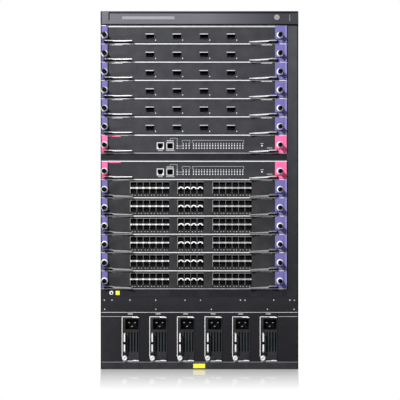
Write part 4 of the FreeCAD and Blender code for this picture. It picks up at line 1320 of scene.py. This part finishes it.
def addBezelTrim():
    fields, dark = newMeshes(2)
    look = bezelLook
    low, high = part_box("top_bezel")
    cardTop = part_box("uplink_card_1")[1].z
    front = low.y - look["proud"]
    for start, end in look["fields"]:
        addBlock(fields, (start[0], front, start[1]), (end[0], frontY, end[1]))
    radius = look["roundRadius"]
    addTurned(fields, look["roundField"], [(radius, low.y + 1.0 * mm), (radius, low.y - 0.2 * mm)], 32)
    makePiece("bezel_fields", fields, "chassis", "fieldPaintAndHighlight", 0.05 * mm)
    # painted shade: a dark block fills the gap under the bezel
    addBlock(dark, (insideLeft + look["gapIn"], low.y - 0.2 * mm, cardTop + 0.2 * mm),
             (insideRight, frontY, low.z + 0.8 * mm))
    # painted shade: dark strips in the groove round the top and left of the bezel's sunk field, and along the
    # bezel's left end
    grooveTop = high.z - look["grooveDrop"]
    left, back = look["grooveLeft"], low.y + look["grooveDeep"]
    addBlock(dark, (left, front, grooveTop - look["grooveWide"]), (look["grooveRight"], back, grooveTop))
    addBlock(dark, (left, front, grooveTop - look["grooveHigh"]), (left + look["sideWide"], back, grooveTop))
    addBlock(dark, (low.x, front, low.z + 1.0 * mm),
             (low.x + look["endWide"], low.y + 0.4 * mm, high.z - 1.5 * mm))
    # painted shade: dark strips over the side walls' front edges and beside the right-hand strip
    for wall in ("side_wall_left", "side_wall_right"):
        wallLow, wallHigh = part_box(wall)
        addBlock(dark, (wallLow.x, frontY - 0.2 * mm, wallLow.z), (wallHigh.x, frontY, wallHigh.z))
    addBlock(dark, (insideRight - look["sideWide"], frontY - 0.3 * mm, 0.0), (insideRight, frontY, low.z))
    makePiece("bezel_seam", dark, "chassis", "portDarkAndPaintedShade")


seamLook = {
    "proud": 0.5 * mm,
    "line": 1.1 * mm,
    "baysTop": 126.7 * mm,
    "innerLine": (116.9 * mm, 117.7 * mm),
    "supplyGap": 1.0 * mm,
    "tab": ((-6.0 * mm, 5.0 * mm), (4.4 * mm, 2.6 * mm)),      # across a supply, and down from the seam
    "bands": ((161.5 * mm, 178.0 * mm), (467.0 * mm, 480.0 * mm)),
    "bandProud": 0.3 * mm,
    "edgeDrop": (1.85 * mm, 0.45 * mm),                        # bright strip under each block of cards, a painted highlight on the top edge of the frame below
    "bevel": 0.1 * mm,
}


def addSeams():
    lines, bands, edges = newMeshes(3)
    look = seamLook
    front, proud, half = frontY - look["proud"], frontY - look["bandProud"], look["line"] / 2
    baysTop = look["baysTop"]
    addBlock(lines, (insideLeft, front, baysTop - half), (insideRight, frontY, baysTop + half))
    firstLeft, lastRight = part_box(supplies[0])[0].x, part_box(supplies[-1])[1].x
    low, high = look["innerLine"]
    addBlock(lines, (insideLeft, front, low), (firstLeft - look["supplyGap"], frontY, high))
    addBlock(lines, (lastRight + look["supplyGap"], front, low), (insideRight, frontY, high))
    (left, right), (below, above) = look["tab"]
    for supply in supplies:
        low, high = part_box(supply)
        middle = (low.x + high.x) / 2
        addBlock(lines, (middle + left, front, baysTop - below), (middle + right, frontY, baysTop - above))
    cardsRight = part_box("port_card_6")[1].x
    for low, high in look["bands"]:
        addBlock(bands, (insideLeft, proud, low), (cardsRight, frontY + 0.2 * mm, high))
    # painted highlight: a bright strip along the top edge of the frame under each block of cards
    for card in ("port_card_6", "control_card_1"):
        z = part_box(card)[0].z
        addBlock(edges, (insideLeft, proud, z - look["edgeDrop"][0]),
                 (cardsRight, frontY, z - look["edgeDrop"][1]))
    for name, mesh, finish in (("frame_bands", bands, "bandPaint"), ("front_seams", lines, "armSteelAndHighlight"),
                               ("block_edges", edges, "zincAndHighlight")):
        makePiece(name, mesh, "chassis", finish, look["bevel"])


# the rows of screws and studs: how high a row lies and the places along it, in millimetres
screwLook = {
    "radius": 1.4 * mm,
    "proud": 0.7 * mm,
    "panel_screws": ("zincAndHighlight", {153.6: (-211.7, -194.5, -154.8, -97.2, -32.2, 2.2, 91.6, 101.4, 165.3, 201.7,
                                      211.3),
                              133.4: (-211.1, -97.2, 26.6, 151.4, 210.8)}),
    "panel_studs": ("shadeSteel", {167.0: (-214.0, 181.4, 209.7),
                                   101.0: (-186.0, -124.0, -63.0, -1.0, 60.0, 122.0, 184.0)}),
}
# plain tags: low and high corner, and how proud a tag stands
tagLook = {
    "sill": ((-14.0 * mm, 2.5 * mm), (12.5 * mm, 12.5 * mm), 0.2 * mm),
    "band": ((-186.6 * mm, 165.4 * mm), (-177.6 * mm, 174.6 * mm), 0.6 * mm),
}
earthLook = {
    "place": (-196.0 * mm, 170.2 * mm),
    "nut": (5.2 * mm, 1.2 * mm),         # radius and how proud it stands
    "collar": (4.4 * mm, 1.8 * mm),
    "sleeve": (3.6 * mm, 3.0 * mm),
    "hole": 2.2 * mm,
}


def addSmallTrim():
    for name in ("panel_screws", "panel_studs"):
        screws = bmesh.new()
        finish, rows = screwLook[name]
        for z, places in rows.items():
            for x in places:
                addDome(screws, x * mm, z * mm, frontY, screwLook["radius"], screwLook["proud"])
        makePiece(name, screws, "chassis", finish)
    tags, jack, hole = newMeshes(3)
    for low, high, proud in tagLook.values():
        addBlock(tags, (low[0], frontY - proud, low[1]), (high[0], frontY, high[1]))
    makePiece("plain_tags", tags, "chassis", "tagYellow", 0.05 * mm)
    place = earthLook["place"]
    nut, collar, sleeve = earthLook["nut"], earthLook["collar"], earthLook["sleeve"]
    addTurned(jack, place, [(nut[0], frontY), (nut[0], frontY - nut[1]), (collar[0], frontY - collar[1])], 6)
    addTurned(jack, place, [(sleeve[0], frontY), (sleeve[0], frontY - sleeve[1])], 24)
    # painted shade: a dark disc on the sleeve's end stands for its bore
    addTurned(hole, place, [(earthLook["hole"], frontY - sleeve[1] + 0.2 * mm),
                            (earthLook["hole"], frontY - sleeve[1] - 0.1 * mm)], 24)
    makePiece("earth_jack", jack, "chassis", "brightSteel", 0.2 * mm)
    makePiece("earth_jack_hole", hole, "chassis", "portDarkAndPaintedShade")


addBareEdges()
addBezelTrim()
addSeams()
addSmallTrim()
print("chassis trim made")


fanLook = {
    "fans": 3,
    "pitch": 185.57 * mm,
    "radius": 83.78 * mm,        # of a rotor
    "bore": 1.6 * mm,            # clearance round each rotor
    "plateFront": 1.7 * mm,      # behind the tray's outer face
    "plateThick": 1.2 * mm,
    "shroudDeep": 34.0 * mm,
    "shroudWall": 0.012,         # of the tube, as a share of its radius
    "steps": 48,
    "hub": 30.0 * mm,
    "screwIn": 12.0 * mm,
    "screwRadius": 5.0 * mm,
    "screwDeep": 9.0 * mm,
    "screwFlutes": 0.25 * mm,
    "fieldWide": 34.0 * mm,
    "fieldHigh": 9.0 * mm,
    "fieldIn": 14.0 * mm,
    "lampIn": 30.0 * mm,
    "lampPitch": 9.0 * mm,
    "lampRadius": 1.8 * mm,
}


def addShroud(mesh, x, z, halfWide, halfHigh, front, back):
    # a square plate with a round mouth, and a short tube behind the mouth
    steps = fanLook["steps"]
    radius = fanLook["radius"] + fanLook["bore"]
    depth = back - fanLook["shroudDeep"]
    circle = ringPoints(steps, radius, (x, z))
    outer = ringPoints(steps, radius * (1 + fanLook["shroudWall"]), (x, z))
    square = []
    for across, up in ringPoints(steps, 1.0):
        reach = 1 / max(abs(across) / halfWide, abs(up) / halfHigh)
        square.append((x + reach * across, z + reach * up))
    rings = [[mesh.verts.new((pointX, y, pointZ)) for pointX, pointZ in points]
             for points, y in ((square, front), (square, back), (circle, back), (circle, depth),
                               (outer, depth), (outer, front))]
    for number, points in enumerate(rings):
        after = rings[(number + 1) % len(rings)]
        for step in range(steps):
            beside = (step + 1) % steps
            mesh.faces.new([points[step], points[beside], after[beside], after[step]])


def addFanTray(node):
    body = bodyOf[node]
    low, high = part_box(node)
    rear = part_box("rear_panel")[1].y
    middle = (low.x + high.x) / 2
    look = fanLook
    back = rear - look["plateFront"]
    shrouds, hubs, screws, fields, lamps = newMeshes(5)
    for number in range(look["fans"]):
        z = (low.z + high.z) / 2 + (number - (look["fans"] - 1) / 2) * look["pitch"]
        addShroud(shrouds, middle, z, (high.x - low.x) / 2 - 2.0 * mm, look["pitch"] / 2 - 0.5 * mm,
                  back - look["plateThick"], back)
        addTurned(hubs, (middle, z), [(look["hub"], back), (look["hub"], back + 0.8 * mm),
                                      (look["hub"] - 2.0 * mm, back + 1.2 * mm)], 40)
    radius, end = look["screwRadius"], rear + look["screwDeep"]
    neck, washer = radius - 1.0 * mm, radius + 2.0 * mm
    for x in (low.x + look["screwIn"], high.x - look["screwIn"]):
        for z in (low.z + look["screwIn"], high.z - look["screwIn"]):
            addTurned(screws, (x, z), [(washer, rear), (washer, rear + 1.0 * mm), (neck, rear + 1.6 * mm),
                                       (neck, rear + 3.0 * mm), (radius, rear + 3.4 * mm),
                                       (radius, end - 1.0 * mm), (neck, end)], 36, look["screwFlutes"])
    wide, tall = look["fieldWide"] / 2, look["fieldHigh"] / 2
    for z in (high.z - look["fieldIn"], low.z + look["fieldIn"]):
        addBlock(fields, (middle - wide, rear, z - tall), (middle + wide, rear + 0.25 * mm, z + tall))
    radius = look["lampRadius"]
    for step in (0, 1):
        place = (middle + look["lampIn"] + step * look["lampPitch"], high.z - look["fieldIn"])
        addTurned(lamps, place, [(radius, rear), (radius, rear + 0.5 * mm),
                                 (radius / 2, rear + 0.9 * mm)], 16)
    makePiece(f"{node}_shrouds", shrouds, body, "guideGrey", smooth=25.0)
    makePieces(node, body, (("hubs", hubs, "zincAndHighlight", 0), ("screws", screws, "zincAndHighlight", 0),
                            ("fields", fields, "printWhite", 0.05 * mm), ("lamps", lamps, "lampWhite", 0)))


for node in ("fan_tray_left", "fan_tray_right"):
    addFanTray(node)


rivetLook = {
    "radius": 2.4 * mm,
    "proud": 0.5 * mm,
    "steps": 12,
    "dome": ((1.0, 0.0), (0.9, 0.55), (0.5, 0.9)),     # shares of the radius and of the rise
    "edge": 11.0 * mm,
    "along": 12,
    "up": 14,
    "across": 9,
    "rearRows": (16.0 * mm, 164.0 * mm),
}


def addRivet(mesh, place, along, out):
    # a low dome: along says which way its axis points, out is the sign
    rings = []
    for radius, rise in rivetLook["dome"]:
        ring = []
        for point in ringPoints(rivetLook["steps"], rivetLook["radius"] * radius):
            corner = list(point)
            corner.insert("xyz".index(along), out * rivetLook["proud"] * rise)
            ring.append([start + step for start, step in zip(place, corner)])
        rings.append(ring)
    addRings(mesh, rings)


def spread(low, high, count):
    return [low + (high - low) * step / (count - 1) for step in range(count)]


def addRivets():
    low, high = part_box("side_wall_left")
    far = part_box("side_wall_right")[1].x
    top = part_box("top_cover")[1].z
    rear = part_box("rear_panel")[1].y
    edge, across = rivetLook["edge"], rivetLook["across"]
    mesh = bmesh.new()
    for x, out in ((low.x, -1), (far, 1)):
        for z in (low.z + edge, high.z - edge):
            for y in spread(low.y + 3 * edge, high.y - edge, rivetLook["along"]):
                addRivet(mesh, (x, y, z), "x", out)
        for y in (low.y + edge, high.y - edge):
            for z in spread(low.z + 3 * edge, high.z - 3 * edge, rivetLook["up"]):
                addRivet(mesh, (x, y, z), "x", out)
    for x in (low.x + edge, far - edge):
        for y in spread(low.y + 3 * edge, high.y - edge, rivetLook["along"]):
            addRivet(mesh, (x, y, top), "z", 1)
    for x in spread(low.x + 3 * edge, far - 3 * edge, across):
        addRivet(mesh, (x, high.y - edge, top), "z", 1)
    for z in rivetLook["rearRows"]:
        for x in spread(low.x + edge, far - edge, across):
            addRivet(mesh, (x, rear, z), "y", 1)
    makePiece("case_rivets", mesh, "chassis", "zincAndHighlight")


# earth stud at the rear: sides, and radius and rise of each step
studLook = {
    "in": 24.0 * mm,
    "rise": 30.0 * mm,
    "washer": (6, ((9.0 * mm, 0.0), (9.0 * mm, 1.2 * mm))),
    "nut": (6, ((6.0 * mm, 1.2 * mm), (6.0 * mm, 5.0 * mm))),
    "thread": (20, ((3.0 * mm, 5.0 * mm), (3.0 * mm, 11.0 * mm), (2.4 * mm, 11.6 * mm))),
}


def addEarthStud():
    low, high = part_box("rear_panel")
    mesh = bmesh.new()
    for sides, steps in (studLook["washer"], studLook["nut"], studLook["thread"]):
        addTurned(mesh, (low.x + studLook["in"], studLook["rise"]),
                  [(radius, high.y + rise) for radius, rise in steps], sides)
    makePiece("rear_earth_stud", mesh, "chassis", "armSteelAndHighlight", 0.2 * mm)


addRivets()
addEarthStud()
print("rear and outside made")


floorLook = {
    "reach": 30.0,
    "colour": (0.42, 0.42, 0.425, 1.0),
    "rough": 0.015,
    "half": 0.2175,              # half the width of the patch that mirrors the case, at its front
    "taper": 0.087,              # how fast the patch narrows going forward
    "fadeSide": 0.004,
    "fadeFront": 0.27,
    "fadeBack": 0.9,
    "least": 0.25,               # share of white even in the middle of the patch
}


def makeFloor():
    look = floorLook
    reach = look["reach"]
    data = bpy.data.meshes.new("floor")
    data.from_pydata([(-reach, -reach, 0), (reach, -reach, 0), (reach, reach, 0), (-reach, reach, 0)], [],
                     [(0, 1, 2, 3)])
    floor = bpy.data.objects.new("floor", data)
    scene.collection.objects.link(floor)
    material, tree, shader = newMaterial("paleFloor")
    shader.inputs["Base Color"].default_value = look["colour"]
    shader.inputs["Roughness"].default_value = look["rough"]
    glow = tree.nodes.new("ShaderNodeEmission")
    glow.inputs["Color"].default_value = (1, 1, 1, 1)
    path = tree.nodes.new("ShaderNodeLightPath")
    place = tree.nodes.new("ShaderNodeTexCoord")
    split = tree.nodes.new("ShaderNodeSeparateXYZ")
    tree.links.new(place.outputs["Object"], split.inputs[0])
    # how far a point lies outside a tapered patch under the object, as a share of the fade on that side
    ahead = mathNode(tree, "SUBTRACT", frontY, split.outputs["Y"])
    narrowing = mathNode(tree, "MULTIPLY", mathNode(tree, "MAXIMUM", ahead, 0.0), look["taper"])
    widest = mathNode(tree, "SUBTRACT", look["half"], narrowing)
    aside = mathNode(tree, "SUBTRACT", mathNode(tree, "ABSOLUTE", split.outputs["X"]), widest)
    aside = mathNode(tree, "DIVIDE", aside, look["fadeSide"])
    ahead = mathNode(tree, "DIVIDE", ahead, look["fadeFront"])
    behind = mathNode(tree, "SUBTRACT", split.outputs["Y"], frontY)
    behind = mathNode(tree, "DIVIDE", behind, look["fadeBack"])
    share = mathNode(tree, "MAXIMUM", mathNode(tree, "MAXIMUM", aside, ahead), behind)
    ramp = tree.nodes.new("ShaderNodeMapRange")
    ramp.inputs["To Min"].default_value = look["least"]
    tree.links.new(share, ramp.inputs["Value"])
    seen = mathNode(tree, "MAXIMUM", path.outputs["Is Camera Ray"], path.outputs["Is Glossy Ray"])
    amount = mathNode(tree, "MULTIPLY", seen, ramp.outputs["Result"])
    mix = tree.nodes.new("ShaderNodeMixShader")
    tree.links.new(amount, mix.inputs[0])
    tree.links.new(shader.outputs[0], mix.inputs[1])
    tree.links.new(glow.outputs[0], mix.inputs[2])
    tree.links.new(mix.outputs[0], tree.nodes["Material Output"].inputs["Surface"])
    data.materials.append(material)


lampLook = {
    "keyLight": {"place": (-1.3, -2.9, 2.0), "target": (0.0, -0.33, 0.45), "size": 0.25, "power": 150.0},
    "fillLight": {"place": (0.3, -3.0, 0.9), "target": (0.0, -0.33, 0.4), "size": 1.8, "power": 5.0},
    "rearLight": {"place": (1.4, 3.0, 1.9), "target": (0.0, 0.33, 0.4), "size": 1.6, "power": 60.0},
}


def addLamp(name, look):
    data = bpy.data.lights.new(name, "AREA")
    data.shape = "RECTANGLE"
    data.size = data.size_y = look["size"]
    data.energy = look["power"]
    lamp = bpy.data.objects.new(name, data)
    scene.collection.objects.link(lamp)
    lamp.location = look["place"]
    aim = Vector(look["target"]) - Vector(look["place"])
    lamp.rotation_euler = aim.to_track_quat("-Z", "Y").to_euler()


worldLook = {"unseen": 0.07, "seen": 1.0}     # strength for other rays, and for the camera


def makeWorld():
    world = bpy.data.worlds.new("studio")
    world.use_nodes = True
    scene.world = world
    tree = world.node_tree
    background = tree.nodes["Background"]
    background.inputs["Color"].default_value = (1, 1, 1, 1)
    path = tree.nodes.new("ShaderNodeLightPath")
    seen = mathNode(tree, "MAXIMUM", path.outputs["Is Camera Ray"], path.outputs["Is Transmission Ray"])
    strength = tree.nodes.new("ShaderNodeMapRange")
    strength.inputs["To Min"].default_value = worldLook["unseen"]
    strength.inputs["To Max"].default_value = worldLook["seen"]
    tree.links.new(seen, strength.inputs["Value"])
    tree.links.new(strength.outputs["Result"], background.inputs["Strength"])


cameraLook = {"x": 0.0011, "z": 0.3768, "distance": 2.5, "span": 0.8905, "sensor": 36.0}


def makeCamera():
    data = bpy.data.cameras.new("camera")
    data.sensor_width = cameraLook["sensor"]
    data.lens = cameraLook["sensor"] * cameraLook["distance"] / cameraLook["span"]
    camera = bpy.data.objects.new("camera", data)
    scene.collection.objects.link(camera)
    camera.location = (cameraLook["x"], frontY - cameraLook["distance"], cameraLook["z"])
    camera.rotation_euler = (math.radians(90.0), 0.0, 0.0)
    scene.camera = camera


makeFloor()
makeWorld()
for name, look in lampLook.items():
    addLamp(name, look)
makeCamera()
scene.view_settings.view_transform = "Standard"
print("stage, light and camera made")
